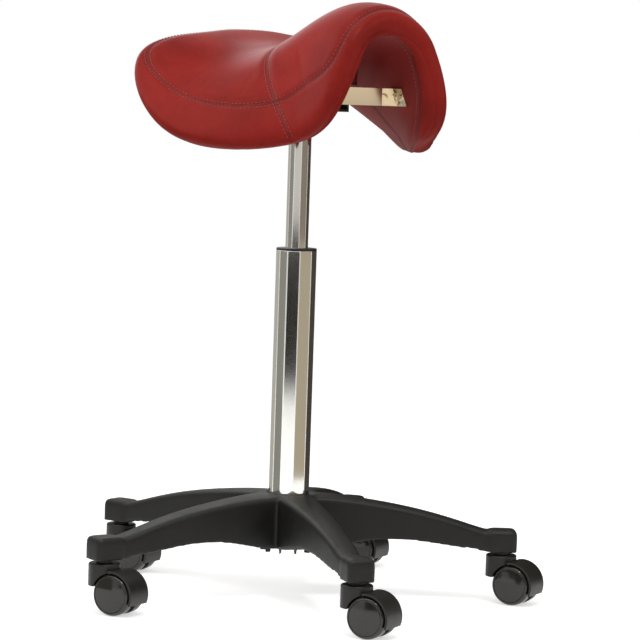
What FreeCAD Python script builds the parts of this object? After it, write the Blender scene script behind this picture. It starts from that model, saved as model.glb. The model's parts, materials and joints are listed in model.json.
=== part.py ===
"""Saddle stool: five-star base on twin-wheel casters, gas lift, tilting padded saddle.

Frame: millimetres, +Z up, origin on the floor under the column axis.
The saddle's front points along -Y, so +X is the rider's left.
"""
import FreeCAD, Part
import math
import os

V = FreeCAD.Vector
X_AXIS, Y_AXIS, Z_AXIS = V(1, 0, 0), V(0, 1, 0), V(0, 0, 1)
ORIGIN = V(0, 0, 0)

# Casters
CASTER_COUNT = 5
WHEEL_DIA = 50.0
WHEEL_WIDTH = 18.0
WHEEL_DOME = 2.2            # how far a wheel's outer face bulges
WHEEL_ROUND = 2.5           # rounding of the tread's outer edge
WEB_THICK = 8.0             # hood wall between the two wheels
WHEEL_GAP = 0.6             # side clearance between a wheel and the web
HOOD_GAP = 1.2              # radial clearance between tread and hood
HOOD_WALL = 2.6
HOOD_OVERLAP = 0.82         # share of the wheel's width that the hood covers
HOOD_FRONT_DEG = 100.0      # hood's arc, counted from the trailing side upwards
HOOD_BACK_DEG = -22.0
AXLE_DIA = 8.0
AXLE_DEPTH = 13.0           # axle's length inside each wheel
AXLE_END_GAP = 0.3
WHEEL_BOSS_WALL = 4.0       # wheel's material round the axle
WHEEL_RIM_WALL = 5.0
WHEEL_RECESS = 5.0          # depth of the hollow on the inner side
RUNNING_GAP = 0.06          # radial clearance of a turning fit
TRAIL = 21.5                # wheel axle behind the swivel axis
TURRET_DIA = 38.0
TURRET_HEIGHT = 27.0
TURRET_ROUND = 2.0
HOOD_RISE = 10.0            # hood's top disc above the treads
WEB_CUT = 15.5              # web ends this far below the axle
NECK_DIA = 20.0
NECK_HEIGHT = 4.0           # hood's top disc to the arm's end block
NECK_GAP = 0.5              # vertical clearance between neck and socket
STEM_DIA = 11.0
STEM_DEPTH_IN_HOOD = 12.0
STEM_END_GAP = 0.3
STEM_LENGTH_IN_ARM = 22.0
RING_THICK = 1.2
RING_RISE = 13.2            # ring above the block's underside
RING_SLIT = 1.5
CASTER_TURN_DEG = -67.0     # direction in which all the casters trail

# Five-star base
ARM_PHASE_DEG = 105.6       # direction of the first arm
ARM_REACH = 266.8           # stem circle radius
BLOCK_HEIGHT = 28.0
BLOCK_WIDTH = 34.0
BLOCK_LENGTH = 37.0
BLOCK_ROUND = 6.0
SOCKET_DIA = 15.0
HUB_DIA = 74.0
HUB_HEIGHT = 65.0
ARM_WALL = 4.5
ARM_ROUND = 6.0
ARM_CROWN = 1.2             # rise of the arm's top in the middle
# share of the reach, bottom and top above the end block's underside, width
ARM_SECTIONS = [
    (0.112, 0.0, 64.0, 50.0),
    (0.232, 3.0, 62.5, 44.0),
    (0.412, 11.5, 57.0, 38.0),
    (0.600, 11.5, 48.5, 34.0),
    (0.768, 6.0, 37.5, 31.0),
    (0.937, 0.0, 25.0, 29.0),
]
ARM_CROSS_WALLS = 2
CROSS_WALL_THICK = 2.2
HUB_RIB_COUNT = 10
HUB_RIB_THICK = 1.6
HUB_RIB_DROP = 8.0
HUB_RIB_EDGE = 2.0          # ribs end this far inside the hub's wall

# Gas lift
TUBE_OD = 50.0
TUBE_WALL = 1.5
TUBE_SHOWING = 301.0        # tube above the hub
TAPER_LENGTH = 60.0         # lower end of the tube, seated in the hub
TAPER_DROP = 2.1            # how much the taper narrows over its length
END_PLATE_THICK = 4.0
COLLAR_HEIGHT = 5.0
COLLAR_SINK = 2.0
COLLAR_GAP = 0.3            # radial clearance of the collar round the cylinder
BUSH_LENGTH = 95.0
STROKE = 152.0
STOP_GAP = 1.0              # head above the collar at the lowest setting
CYLINDER_DIA = 28.0
CYLINDER_WALL = 2.0
CYLINDER_LENGTH = 314.0
CYLINDER_PLUG = 26.0        # solid upper end round the valve pin
CONE_LENGTH = 28.0          # upper end of the cylinder, seated in the head
CONE_DROP = 0.9
ROD_DIA = 10.0
ROD_GROOVE = 1.2            # depth of the clip's groove
ROD_TAIL = 7.0              # rod below the end plate, for the clip
PISTON_HEIGHT = 12.0
PISTON_GAP = 0.05
PISTON_LIFT = 3.0           # piston above the rod guide when the lift is fully out
ROD_GUIDE_HEIGHT = 16.0
RACE_DIA = 30.0
RACE_THICK = 2.0
BALL_DIA = 4.0
BALL_COUNT = 12
BALL_CIRCLE_DIA = 21.0
BALL_GAP = 0.02
RACE_GAP = 0.5              # radial clearance of the lower race round the rod
BUFFER_DIA = 26.0
BUFFER_HEIGHT = 22.0
CLIP_DIA = 18.0
CLIP_THICK = 1.5
CLIP_GAP = 0.3
CLIP_SLIT = 6.0
VALVE_DIA = 6.0
VALVE_RISE = 5.0            # pin standing out of the cylinder at rest
VALVE_DEPTH = 20.0

# Head under the saddle
HEAD_TUBE_WALL = 4.0
HEAD_DROP = 12.0            # underside of the channel's floor below the cylinder's top
PLATE_THICK = 3.0
CHANNEL_WIDTH = 50.0
CHANNEL_FRONT_Y = -62.0
CHANNEL_REAR_Y = 48.0
TILT_ROOM = 6.0             # channel's edge below the saddle plate
PIVOT_Y = -50.0
PIVOT_DROP = 17.0           # pivot below the saddle plate
PIVOT_DIA = 8.0
LOCK_Y = 36.0
LOCK_DIA = 8.0
TILT_DOWN_DEG = 8.0         # nose down
TILT_UP_DEG = 3.0           # nose up
EAR_GAP = 0.5
EAR_ROUND = 9.0
EAR_BELOW_SLOT = 7.2
SLOT_GAP = 0.3
SLOT_SPARE_DEG = 1.0
BLOCK_HALF_X = 40.0
BLOCK_FRONT_Y = -58.0
BLOCK_REAR_Y = 46.0
PLATE_LIP = 4.0             # plate behind the spacer block
BOLT_SPACING_X = 65.0
BOLT_SPACING_Y = 44.0
BOLT_CENTRE_Y = -6.0
BOLT_DIA = 6.0
BOLT_HEAD_DIA = 11.0
BOLT_HEAD_HEIGHT = 4.0
BOLT_COVER = 2.5            # board above a bolt's end
NUT_DIA = 9.0
PIN_HEAD_DIA = 12.0
PIN_HEAD_THICK = 2.0
LEVER_PIVOT_X = -16.0
LEVER_PIN_DIA = 4.0
LEVER_DIA = 7.0
LEVER_TOUCH_GAP = 0.35
LEVER_HEADROOM = 8.65       # saddle plate above the lever
LEVER_TIP_X = 6.0           # tip's reach past the column axis
LUG_GAP = 1.0
LUG_HALF = 4.0
PIN_STICK_OUT = 0.8
GRIP_DIA = 14.0
GRIP_ROUND = 4.2
GRIP_START_GAP = 3.0
GRIP_CAP = 4.0              # grip past the rod's end
# lever's path out to the rider's right: distances from the column axis, and its drop
LEVER_BEND_X = 50.0
LEVER_DROP_X = 72.0
LEVER_END_X = 98.0
LEVER_DROP = 44.85
LOCK_ARM_LENGTH = 46.0
LOCK_ARM_WIDTH = 14.0
LOCK_ARM_THICK = 5.0
LOCK_HEAD_DIA = 13.6
LOCK_HEAD_THICK = 4.5
LOCK_SIDE_GAP = 0.5

# Saddle: five stations from rear to front, each with the middle layer's values
SADDLE_REAR_A = -119.0      # distance ahead of the column axis
SADDLE_FRONT_A = 172.0
RIDGE_RISE = [44.8, 9.8, 20.8, 57.8, 54.8]      # pad's underside above the saddle plate's
CROWN_RADIUS = [275.0, 217.0, 120.0, 60.0, 70.0]
FLAP_ANGLE_DEG = [6.0, 32.0, 48.0, 65.0, 60.0]
HALF_GIRTH = [215.0, 215.0, 204.0, 200.0, 217.0]
LEAN_REAR = -0.28           # how far a section leans with its height
LEAN_FRONT = -0.14
CORNER_POWER_REAR = 5.4
CORNER_POWER_FRONT = 2.8
PAD_ABOVE = 20.4            # leather's outside above the middle layer
PAD_BELOW = 18.2
LEATHER_THICK = 1.4
BOARD_THICK = 9.0
BOARD_INSET = 14.0
LINING_INSET = 9.0
SEAM_INSET = 44.0
SEAM_END_SHARE = 0.5        # the seam's inset at the two ends, as a share of that
SEAM_SPLIT_A = 28.0         # crossing of the transverse seam on the ridge
SEAM_SPLIT_TURN_DEG = 24.0
RIM_DEPTH = 1.25            # length of the rounded rim in half thicknesses
SHORTEST_LEG = 6.0
END_ROUND_POWER = 9         # how late the pad thins towards its two ends
END_ROUND_ROOT = 2.2
ROOM_DEPTH = 36.4           # how far the cutting layers reach below the middle layer
STATIONS = [-0.992, -0.96, -0.88, -0.74, -0.55, -0.3, 0.0, 0.25, 0.45, 0.62, 0.78, 0.9, 0.965, 0.992]

# Bracket across the front arch
BRACKET_A = 118.0
BRACKET_DROP = 24.0         # strap's lower edge below the saddle plate
BRACKET_HEIGHT = 21.0
BRACKET_THICK = 4.0
BRACKET_FLAT_HALF = 30.0
BRACKET_WING_X = 62.0
BRACKET_WING_BACK = 10.0
FLANGE_LENGTH = 24.0
FLANGE_THICK = 3.0
SCREW_DIA = 4.0
SCREW_LENGTH = 9.0
SCREW_HEAD_DIA = 8.0
SCREW_HEAD_THICK = 2.4
SCREW_SPACING = 13.0

# Heights that follow, from the floor up
CASTER_TOP_Z = WHEEL_DIA + HOOD_RISE
BLOCK_BOTTOM_Z = CASTER_TOP_Z + NECK_HEIGHT
STEM_TOP_Z = BLOCK_BOTTOM_Z + STEM_LENGTH_IN_ARM
HUB_TOP_Z = BLOCK_BOTTOM_Z + HUB_HEIGHT
TUBE_BOTTOM_Z = HUB_TOP_Z - TAPER_LENGTH
TUBE_TOP_Z = HUB_TOP_Z + TUBE_SHOWING
COLLAR_TOP_Z = TUBE_TOP_Z + COLLAR_HEIGHT - COLLAR_SINK
HEAD_BOTTOM_Z = COLLAR_TOP_Z + STOP_GAP + STROKE
CYLINDER_TOP_Z = HEAD_BOTTOM_Z + CONE_LENGTH
CYLINDER_BOTTOM_Z = CYLINDER_TOP_Z - CYLINDER_LENGTH
HEAD_PLATE_Z = CYLINDER_TOP_Z - HEAD_DROP
LEVER_Z = CYLINDER_TOP_Z + VALVE_RISE + LEVER_TOUCH_GAP + LEVER_DIA / 2
LEVER_END_Z = LEVER_Z - LEVER_DROP
SADDLE_PLATE_Z = LEVER_Z + LEVER_DIA / 2 + LEVER_HEADROOM
CHANNEL_TOP_Z = SADDLE_PLATE_Z - TILT_ROOM
PIVOT_Z = SADDLE_PLATE_Z - PIVOT_DROP
BRACKET_BOTTOM_Z = SADDLE_PLATE_Z - BRACKET_DROP
RIDGE_Z = [SADDLE_PLATE_Z + rise + PAD_BELOW for rise in RIDGE_RISE]


def cylinder(diameter, low, high, x=0.0, y=0.0):
    """Upright cylinder between two heights."""
    return Part.makeCylinder(diameter / 2, high - low, V(x, y, low))


def tube(outer, inner, low, high, x=0.0, y=0.0):
    return cylinder(outer, low, high, x, y).cut(cylinder(inner, low - 1, high + 1, x, y))


def rod(diameter, start, end):
    """Cylinder from one point to another."""
    along = end.sub(start)
    return Part.makeCylinder(diameter / 2, along.Length, start, along)


def box(x0, x1, y0, y1, z0, z1):
    return Part.makeBox(x1 - x0, y1 - y0, z1 - z0, V(x0, y0, z0))


def turned(points, centre=ORIGIN):
    """Solid turned about a vertical axis from (radius, height) points."""
    outline = [V(r, 0, z) for r, z in points]
    face = Part.Face(Part.makePolygon(outline + outline[:1]))
    solid = face.revolve(ORIGIN, Z_AXIS, 360)
    solid.translate(centre)
    return solid


def softened(shape, radius, height):
    """Round the edges that lie level at a height."""
    level = [e for e in shape.Edges if e.BoundBox.ZLength < 0.01 and abs(e.BoundBox.ZMin - height) < 0.01]
    return shape.makeFillet(radius, level)


def spun(shape, degrees, axis=Z_AXIS, centre=ORIGIN):
    copy = shape.copy()
    copy.rotate(centre, axis, degrees)
    return copy


def arc(first, middle, last):
    return Part.Arc(first, middle, last).toShape()


def line(first, last):
    return Part.LineSegment(first, last).toShape()


def export(name, *solids):
    shape = solids[0] if len(solids) == 1 else Part.makeCompound(list(solids))
    shape.exportStep("parts/" + name + ".step")
    print(name, len(shape.Solids), round(shape.Volume / 1000, 2), "cm3", shape.isValid())


# Casters, in a caster's own frame: swivel axis on Z, trailing along +X

WHEEL_R = WHEEL_DIA / 2
WHEEL_IN = WEB_THICK / 2 + WHEEL_GAP
WHEEL_OUT = WHEEL_IN + WHEEL_WIDTH
HOOD_R = WHEEL_R + HOOD_GAP + HOOD_WALL
AXLE_HALF = WHEEL_IN + AXLE_DEPTH
STEM_BOTTOM_Z = CASTER_TOP_Z - STEM_DEPTH_IN_HOOD
AXLE_POINT = V(TRAIL, 0, WHEEL_R)


def on_axle(shape):
    """Lay a shape that was turned about Z onto the axle, along Y."""
    shape = spun(shape, -90, X_AXIS)
    shape.translate(AXLE_POINT)
    return shape


def caster_wheel(side):
    """Moulded wheel with a domed face and a recessed inner side."""
    bore = AXLE_DIA / 2 + RUNNING_GAP
    boss, rim = bore + WHEEL_BOSS_WALL, WHEEL_R - WHEEL_RIM_WALL
    floor = WHEEL_IN + WHEEL_RECESS
    edge = WHEEL_R - WHEEL_ROUND
    axle_end = AXLE_HALF + AXLE_END_GAP
    inner = [(edge, WHEEL_OUT), (0, WHEEL_OUT), (0, axle_end), (bore, axle_end), (bore, WHEEL_IN),
             (boss, WHEEL_IN), (boss, floor), (rim, floor), (rim, WHEEL_IN),
             (WHEEL_R, WHEEL_IN), (WHEEL_R, WHEEL_OUT - WHEEL_ROUND)]
    corners = [V(r, 0, z) for r, z in inner]
    bend = WHEEL_ROUND * math.sqrt(0.5)
    shoulder = arc(corners[-1], V(edge + bend, 0, WHEEL_OUT - WHEEL_ROUND + bend), corners[0])
    edges = [line(p, q) for p, q in zip(corners, corners[1:])] + [shoulder]
    wheel = Part.Face(Part.Wire(edges)).revolve(ORIGIN, Z_AXIS, 360)
    ball = (edge ** 2 + WHEEL_DOME ** 2) / (2 * WHEEL_DOME)
    dome = Part.makeSphere(ball, V(0, 0, WHEEL_OUT + WHEEL_DOME - ball))
    dome = dome.common(Part.makeCylinder(WHEEL_R, WHEEL_DOME * 2, V(0, 0, WHEEL_OUT)))
    wheel = wheel.fuse(dome).removeSplitter()
    if side > 0:
        wheel = spun(wheel, 180, X_AXIS)
    return on_axle(wheel)


def caster_hood():
    """Turret, web between the wheels and the guard over the treads."""
    half = WHEEL_IN + WHEEL_WIDTH * HOOD_OVERLAP
    guard = turned([(HOOD_R - HOOD_WALL, -half), (HOOD_R, -half), (HOOD_R, half), (HOOD_R - HOOD_WALL, half)])
    keep = Part.makeCylinder(
        HOOD_R + 2, half * 2 + 2, V(0, 0, -half - 1), Z_AXIS, HOOD_FRONT_DEG - HOOD_BACK_DEG)
    guard = guard.common(spun(keep, HOOD_BACK_DEG))
    web = Part.makeCylinder(HOOD_R - HOOD_WALL / 2, WEB_THICK, V(0, 0, -WEB_THICK / 2))
    web = web.cut(box(-HOOD_R, HOOD_R, -HOOD_R, -WEB_CUT, -WEB_THICK, WEB_THICK))
    laid = spun(guard.fuse(web), 90, X_AXIS)
    laid.translate(AXLE_POINT)
    turret = cylinder(TURRET_DIA, CASTER_TOP_Z - TURRET_HEIGHT, CASTER_TOP_Z)
    turret = softened(turret, TURRET_ROUND, CASTER_TOP_Z)
    clear = on_axle(Part.makeCylinder(WHEEL_R + HOOD_GAP, WHEEL_WIDTH * 2, V(0, 0, WEB_THICK / 2)))
    clear = clear.fuse(on_axle(
        Part.makeCylinder(WHEEL_R + HOOD_GAP, WHEEL_WIDTH * 2, V(0, 0, -WEB_THICK / 2 - WHEEL_WIDTH * 2))))
    neck = cylinder(NECK_DIA, CASTER_TOP_Z - 1, BLOCK_BOTTOM_Z - NECK_GAP)
    solid = turret.fuse(neck).cut(clear).fuse(laid)
    solid = solid.cut(cylinder(STEM_DIA + 2 * RUNNING_GAP, STEM_BOTTOM_Z, BLOCK_BOTTOM_Z + 1))
    bore = on_axle(Part.makeCylinder(AXLE_DIA / 2, WEB_THICK * 3, V(0, 0, -WEB_THICK * 1.5)))
    return solid.cut(bore).removeSplitter()


def caster_axle():
    return on_axle(Part.makeCylinder(AXLE_DIA / 2, AXLE_HALF * 2, V(0, 0, -AXLE_HALF)))


def arm_angle(index):
    return ARM_PHASE_DEG + index * 360.0 / CASTER_COUNT


def stem_point(index):
    turn = math.radians(arm_angle(index))
    return V(ARM_REACH * math.cos(turn), ARM_REACH * math.sin(turn), 0)


def build_casters():
    hood, axle = caster_hood(), caster_axle()
    wheels = [caster_wheel(1), caster_wheel(-1)]
    for index in range(CASTER_COUNT):
        place = stem_point(index)
        for name, shape in (("hood", hood), ("axle", axle), ("wheel_a", wheels[0]), ("wheel_b", wheels[1])):
            copy = spun(shape, CASTER_TURN_DEG)
            copy.translate(place)
            export("caster_%d_%s" % (index + 1, name), copy)


# Base star

def arm_section(radius, low, high, width, inset=0.0):
    """Rounded upright section of an arm, as a wire in the plane x = radius."""
    half = width / 2 - inset
    top = high - inset
    corner = max(ARM_ROUND - inset, 1.0)
    shoulder = half - corner
    bend = corner * (1 - math.sqrt(0.5))
    points = [V(radius, half, low), V(radius, half, top - corner)]
    edges = [
        line(points[0], points[1]),
        arc(points[1], V(radius, half - bend, top - bend), V(radius, shoulder, top)),
        arc(V(radius, shoulder, top), V(radius, 0, top + ARM_CROWN), V(radius, -shoulder, top)),
        arc(V(radius, -shoulder, top), V(radius, -half + bend, top - bend), V(radius, -half, top - corner)),
        line(V(radius, -half, top - corner), V(radius, -half, low)),
        line(V(radius, -half, low), V(radius, half, low)),
    ]
    return Part.Wire(edges)


def arm_rows(drop=0.0):
    """Radius, bottom z, top z and width of the arm's sections."""
    return [(share * ARM_REACH, BLOCK_BOTTOM_Z + low - drop, BLOCK_BOTTOM_Z + high, width)
            for share, low, high, width in ARM_SECTIONS]


def arm_body():
    """One arm along +X, filled, with the rounded block at its end."""
    outside = Part.makeLoft([arm_section(*row) for row in arm_rows()], True)
    x0, x1 = ARM_REACH - BLOCK_LENGTH / 2, ARM_REACH + BLOCK_LENGTH / 2
    block = box(x0, x1, -BLOCK_WIDTH / 2, BLOCK_WIDTH / 2, BLOCK_BOTTOM_Z, BLOCK_BOTTOM_Z + BLOCK_HEIGHT)
    rounded = [e for e in block.Edges if abs(e.BoundBox.ZMax - BLOCK_BOTTOM_Z) > 0.01]
    return outside.fuse(block.makeFillet(BLOCK_ROUND, rounded))


def arm_hollow():
    """Channel open from below, with stiffening walls left across it."""
    rows = arm_rows(drop=ARM_WALL)[1:]
    hollow = Part.makeLoft([arm_section(*row, inset=ARM_WALL) for row in rows], True)
    last = ARM_REACH - BLOCK_LENGTH / 2 - ARM_WALL
    hollow = hollow.common(box(0, last, -HUB_DIA, HUB_DIA, 0, HUB_TOP_Z))
    first = rows[0][0]
    step = (last - first) / (ARM_CROSS_WALLS + 1)
    for k in range(1, ARM_CROSS_WALLS + 1):
        x = first + k * step
        low = BLOCK_BOTTOM_Z + ARM_WALL
        hollow = hollow.cut(box(x, x + CROSS_WALL_THICK, -HUB_DIA, HUB_DIA, low, HUB_TOP_Z))
    return hollow


def hub_taper():
    """The tapered lower end of the column, as it fills the hub."""
    top = TUBE_OD / 2
    low = top - TAPER_DROP / 2
    return turned([(0, TUBE_BOTTOM_Z), (low, TUBE_BOTTOM_Z), (top, HUB_TOP_Z), (0, HUB_TOP_Z)])


def base_star():
    turns = [arm_angle(k) for k in range(CASTER_COUNT)]
    body, hollow = arm_body(), arm_hollow()
    star = cylinder(HUB_DIA, BLOCK_BOTTOM_Z, HUB_TOP_Z).fuse([spun(body, turn) for turn in turns])
    rib = box(TUBE_OD / 2, HUB_DIA / 2 - HUB_RIB_EDGE, -HUB_RIB_THICK / 2, HUB_RIB_THICK / 2,
              BLOCK_BOTTOM_Z - HUB_RIB_DROP, BLOCK_BOTTOM_Z + 1)
    star = star.fuse([spun(rib, k * 360.0 / HUB_RIB_COUNT) for k in range(HUB_RIB_COUNT)])
    for index, turn in enumerate(turns):
        place = stem_point(index)
        socket = cylinder(SOCKET_DIA, BLOCK_BOTTOM_Z - 1, STEM_TOP_Z, place.x, place.y)
        star = star.cut(spun(hollow, turn)).cut(socket)
    bore = hub_taper().fuse(cylinder(TUBE_OD - TAPER_DROP, 0, TUBE_BOTTOM_Z + 1))
    return star.cut(bore).cut(cylinder(TUBE_OD, HUB_TOP_Z, TUBE_TOP_Z)).removeSplitter()


def build_base():
    export("base_star", base_star())
    sockets, stems, rings = [], [], []
    ring_z = BLOCK_BOTTOM_Z + RING_RISE
    for index in range(CASTER_COUNT):
        place = stem_point(index)
        where = (place.x, place.y)
        ring_dia = (STEM_DIA + SOCKET_DIA) / 2
        groove = tube(ring_dia, STEM_DIA - RING_THICK * 2, ring_z, ring_z + RING_THICK, *where)
        sockets.append(tube(SOCKET_DIA, STEM_DIA, BLOCK_BOTTOM_Z, STEM_TOP_Z, *where).cut(groove))
        stems.append(cylinder(STEM_DIA, STEM_BOTTOM_Z + STEM_END_GAP, STEM_TOP_Z, *where).cut(groove))
        slit = box(0, SOCKET_DIA, -RING_SLIT / 2, RING_SLIT / 2, ring_z - 1, ring_z + RING_THICK + 1)
        rings.append(groove.cut(slit.translated(place)))
    export("stem_sockets", *sockets)
    export("caster_stems", *stems)
    export("stem_rings", *rings)


# Gas lift

TUBE_ID = TUBE_OD - 2 * TUBE_WALL
PLATE_TOP_Z = TUBE_BOTTOM_Z + END_PLATE_THICK
LOWER_RACE_TOP = PLATE_TOP_Z + RACE_THICK
UPPER_RACE_LOW = LOWER_RACE_TOP + BALL_DIA + 2 * BALL_GAP
UPPER_RACE_TOP = UPPER_RACE_LOW + RACE_THICK
PISTON_LOW_Z = CYLINDER_BOTTOM_Z + ROD_GUIDE_HEIGHT + PISTON_LIFT
CYLINDER_BORE = CYLINDER_DIA - 2 * CYLINDER_WALL
GROOVE_DIA = ROD_DIA - 2 * ROD_GROOVE


def build_tube():
    low_r = TUBE_OD / 2 - TAPER_DROP / 2
    outline = [
        (low_r - TUBE_WALL, TUBE_BOTTOM_Z), (low_r, TUBE_BOTTOM_Z), (TUBE_OD / 2, HUB_TOP_Z),
        (TUBE_OD / 2, TUBE_TOP_Z), (TUBE_ID / 2, TUBE_TOP_Z), (TUBE_ID / 2, HUB_TOP_Z),
    ]
    export("outer_tube", turned(outline))
    plate_dia = (low_r - TUBE_WALL) * 2
    export("tube_end_plate", tube(plate_dia, ROD_DIA + 2 * RUNNING_GAP, TUBE_BOTTOM_Z, PLATE_TOP_Z))
    bush_top = TUBE_TOP_Z - COLLAR_SINK
    inner = CYLINDER_DIA + 2 * RUNNING_GAP
    export("guide_bush", tube(TUBE_ID, inner, bush_top - BUSH_LENGTH, bush_top))
    hole = CYLINDER_DIA + 2 * COLLAR_GAP
    collar = tube(TUBE_ID, hole, bush_top, TUBE_TOP_Z).fuse(tube(TUBE_OD, hole, TUBE_TOP_Z, COLLAR_TOP_Z))
    export("collar_ring", collar.removeSplitter())
    export("lower_race", tube(RACE_DIA, ROD_DIA + 2 * RACE_GAP, PLATE_TOP_Z, LOWER_RACE_TOP))


def build_rod():
    clip_top = TUBE_BOTTOM_Z - CLIP_GAP
    groove = tube(ROD_DIA + 1, GROOVE_DIA, clip_top - CLIP_THICK, clip_top)
    piston_rod = cylinder(ROD_DIA, TUBE_BOTTOM_Z - ROD_TAIL, PISTON_LOW_Z + PISTON_HEIGHT).cut(groove)
    export("piston_rod", piston_rod)
    piston_dia = CYLINDER_BORE - 2 * PISTON_GAP
    export("piston", tube(piston_dia, ROD_DIA, PISTON_LOW_Z, PISTON_LOW_Z + PISTON_HEIGHT))
    balls = []
    for k in range(BALL_COUNT):
        turn = 2 * math.pi * k / BALL_COUNT
        radius = BALL_CIRCLE_DIA / 2
        centre = V(radius * math.cos(turn), radius * math.sin(turn), LOWER_RACE_TOP + BALL_GAP + BALL_DIA / 2)
        balls.append(Part.makeSphere(BALL_DIA / 2, centre))
    export("bearing_balls", *balls)
    export("upper_race", tube(RACE_DIA, ROD_DIA, UPPER_RACE_LOW, UPPER_RACE_TOP))
    export("rubber_buffer", tube(BUFFER_DIA, ROD_DIA, UPPER_RACE_TOP, UPPER_RACE_TOP + BUFFER_HEIGHT))
    slit = box(0, CLIP_DIA, -CLIP_SLIT / 2, CLIP_SLIT / 2, clip_top - CLIP_THICK, clip_top)
    export("rod_clip", tube(CLIP_DIA, GROOVE_DIA, clip_top - CLIP_THICK, clip_top).cut(slit))


def build_cylinder():
    top_r = CYLINDER_DIA / 2 - CONE_DROP / 2
    plug_low = CYLINDER_TOP_Z - CYLINDER_PLUG
    outline = [
        (CYLINDER_BORE / 2, CYLINDER_BOTTOM_Z), (CYLINDER_DIA / 2, CYLINDER_BOTTOM_Z),
        (CYLINDER_DIA / 2, HEAD_BOTTOM_Z), (top_r, CYLINDER_TOP_Z),
        (VALVE_DIA / 2 + RUNNING_GAP, CYLINDER_TOP_Z),
        (VALVE_DIA / 2 + RUNNING_GAP, plug_low), (CYLINDER_BORE / 2, plug_low),
    ]
    export("gas_cylinder", turned(outline))
    guide = tube(CYLINDER_BORE, ROD_DIA + 2 * RUNNING_GAP, CYLINDER_BOTTOM_Z,
                 CYLINDER_BOTTOM_Z + ROD_GUIDE_HEIGHT)
    export("rod_guide", guide)
    dome_z = CYLINDER_TOP_Z + VALVE_RISE - VALVE_DIA / 2
    pin = cylinder(VALVE_DIA, CYLINDER_TOP_Z - VALVE_DEPTH, dome_z)
    export("valve_pin", pin.fuse(Part.makeSphere(VALVE_DIA / 2, V(0, 0, dome_z))).removeSplitter())


# Head, saddle plate and levers

CHANNEL_HALF = CHANNEL_WIDTH / 2
EAR_IN = CHANNEL_HALF + EAR_GAP
EAR_OUT = EAR_IN + PLATE_THICK


def cross_rod(diameter, x0, x1, y=LOCK_Y):
    """Cylinder across the channel, at the height of the pivot."""
    return rod(diameter, V(x0, y, PIVOT_Z), V(x1, y, PIVOT_Z))


def lever_pin():
    half = LEVER_DIA / 2 + LUG_GAP + PLATE_THICK + PIN_STICK_OUT
    return rod(LEVER_PIN_DIA, V(LEVER_PIVOT_X, -half, LEVER_Z), V(LEVER_PIVOT_X, half, LEVER_Z))


def column_head():
    """Tapered socket with a channel welded to it."""
    outer = CYLINDER_DIA + 2 * HEAD_TUBE_WALL
    socket = cylinder(outer, HEAD_BOTTOM_Z, CYLINDER_TOP_Z)
    channel = box(-CHANNEL_HALF, CHANNEL_HALF, CHANNEL_FRONT_Y, CHANNEL_REAR_Y, HEAD_PLATE_Z, CHANNEL_TOP_Z)
    channel = channel.cut(box(
        -CHANNEL_HALF + PLATE_THICK, CHANNEL_HALF - PLATE_THICK, CHANNEL_FRONT_Y - 1, CHANNEL_REAR_Y + 1,
        HEAD_PLATE_Z + PLATE_THICK, CHANNEL_TOP_Z + 1))
    lug_y = LEVER_DIA / 2 + LUG_GAP
    lugs = []
    for side in (-1, 1):
        y0, y1 = sorted((side * lug_y, side * (lug_y + PLATE_THICK)))
        lugs.append(box(LEVER_PIVOT_X - LUG_HALF, LEVER_PIVOT_X + LUG_HALF, y0, y1,
                        HEAD_PLATE_Z + PLATE_THICK / 2, LEVER_Z + LUG_HALF))
    solid = channel.fuse([socket] + lugs)
    bore = turned([(0, HEAD_BOTTOM_Z), (CYLINDER_DIA / 2, HEAD_BOTTOM_Z),
                   (CYLINDER_DIA / 2 - CONE_DROP / 2, CYLINDER_TOP_Z), (0, CYLINDER_TOP_Z)])
    solid = solid.cut(bore)
    solid = solid.cut(cross_rod(PIVOT_DIA + 2 * RUNNING_GAP, -CHANNEL_WIDTH, CHANNEL_WIDTH, PIVOT_Y))
    solid = solid.cut(cross_rod(LOCK_DIA, -CHANNEL_WIDTH, CHANNEL_WIDTH))
    solid = solid.cut(lever_pin())
    window = box(-CHANNEL_HALF - 1, -CHANNEL_HALF + PLATE_THICK + 1, -LEVER_DIA, LEVER_DIA,
                 LEVER_Z - LEVER_DIA, CHANNEL_TOP_Z + 1)
    return solid.cut(window).removeSplitter()


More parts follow.
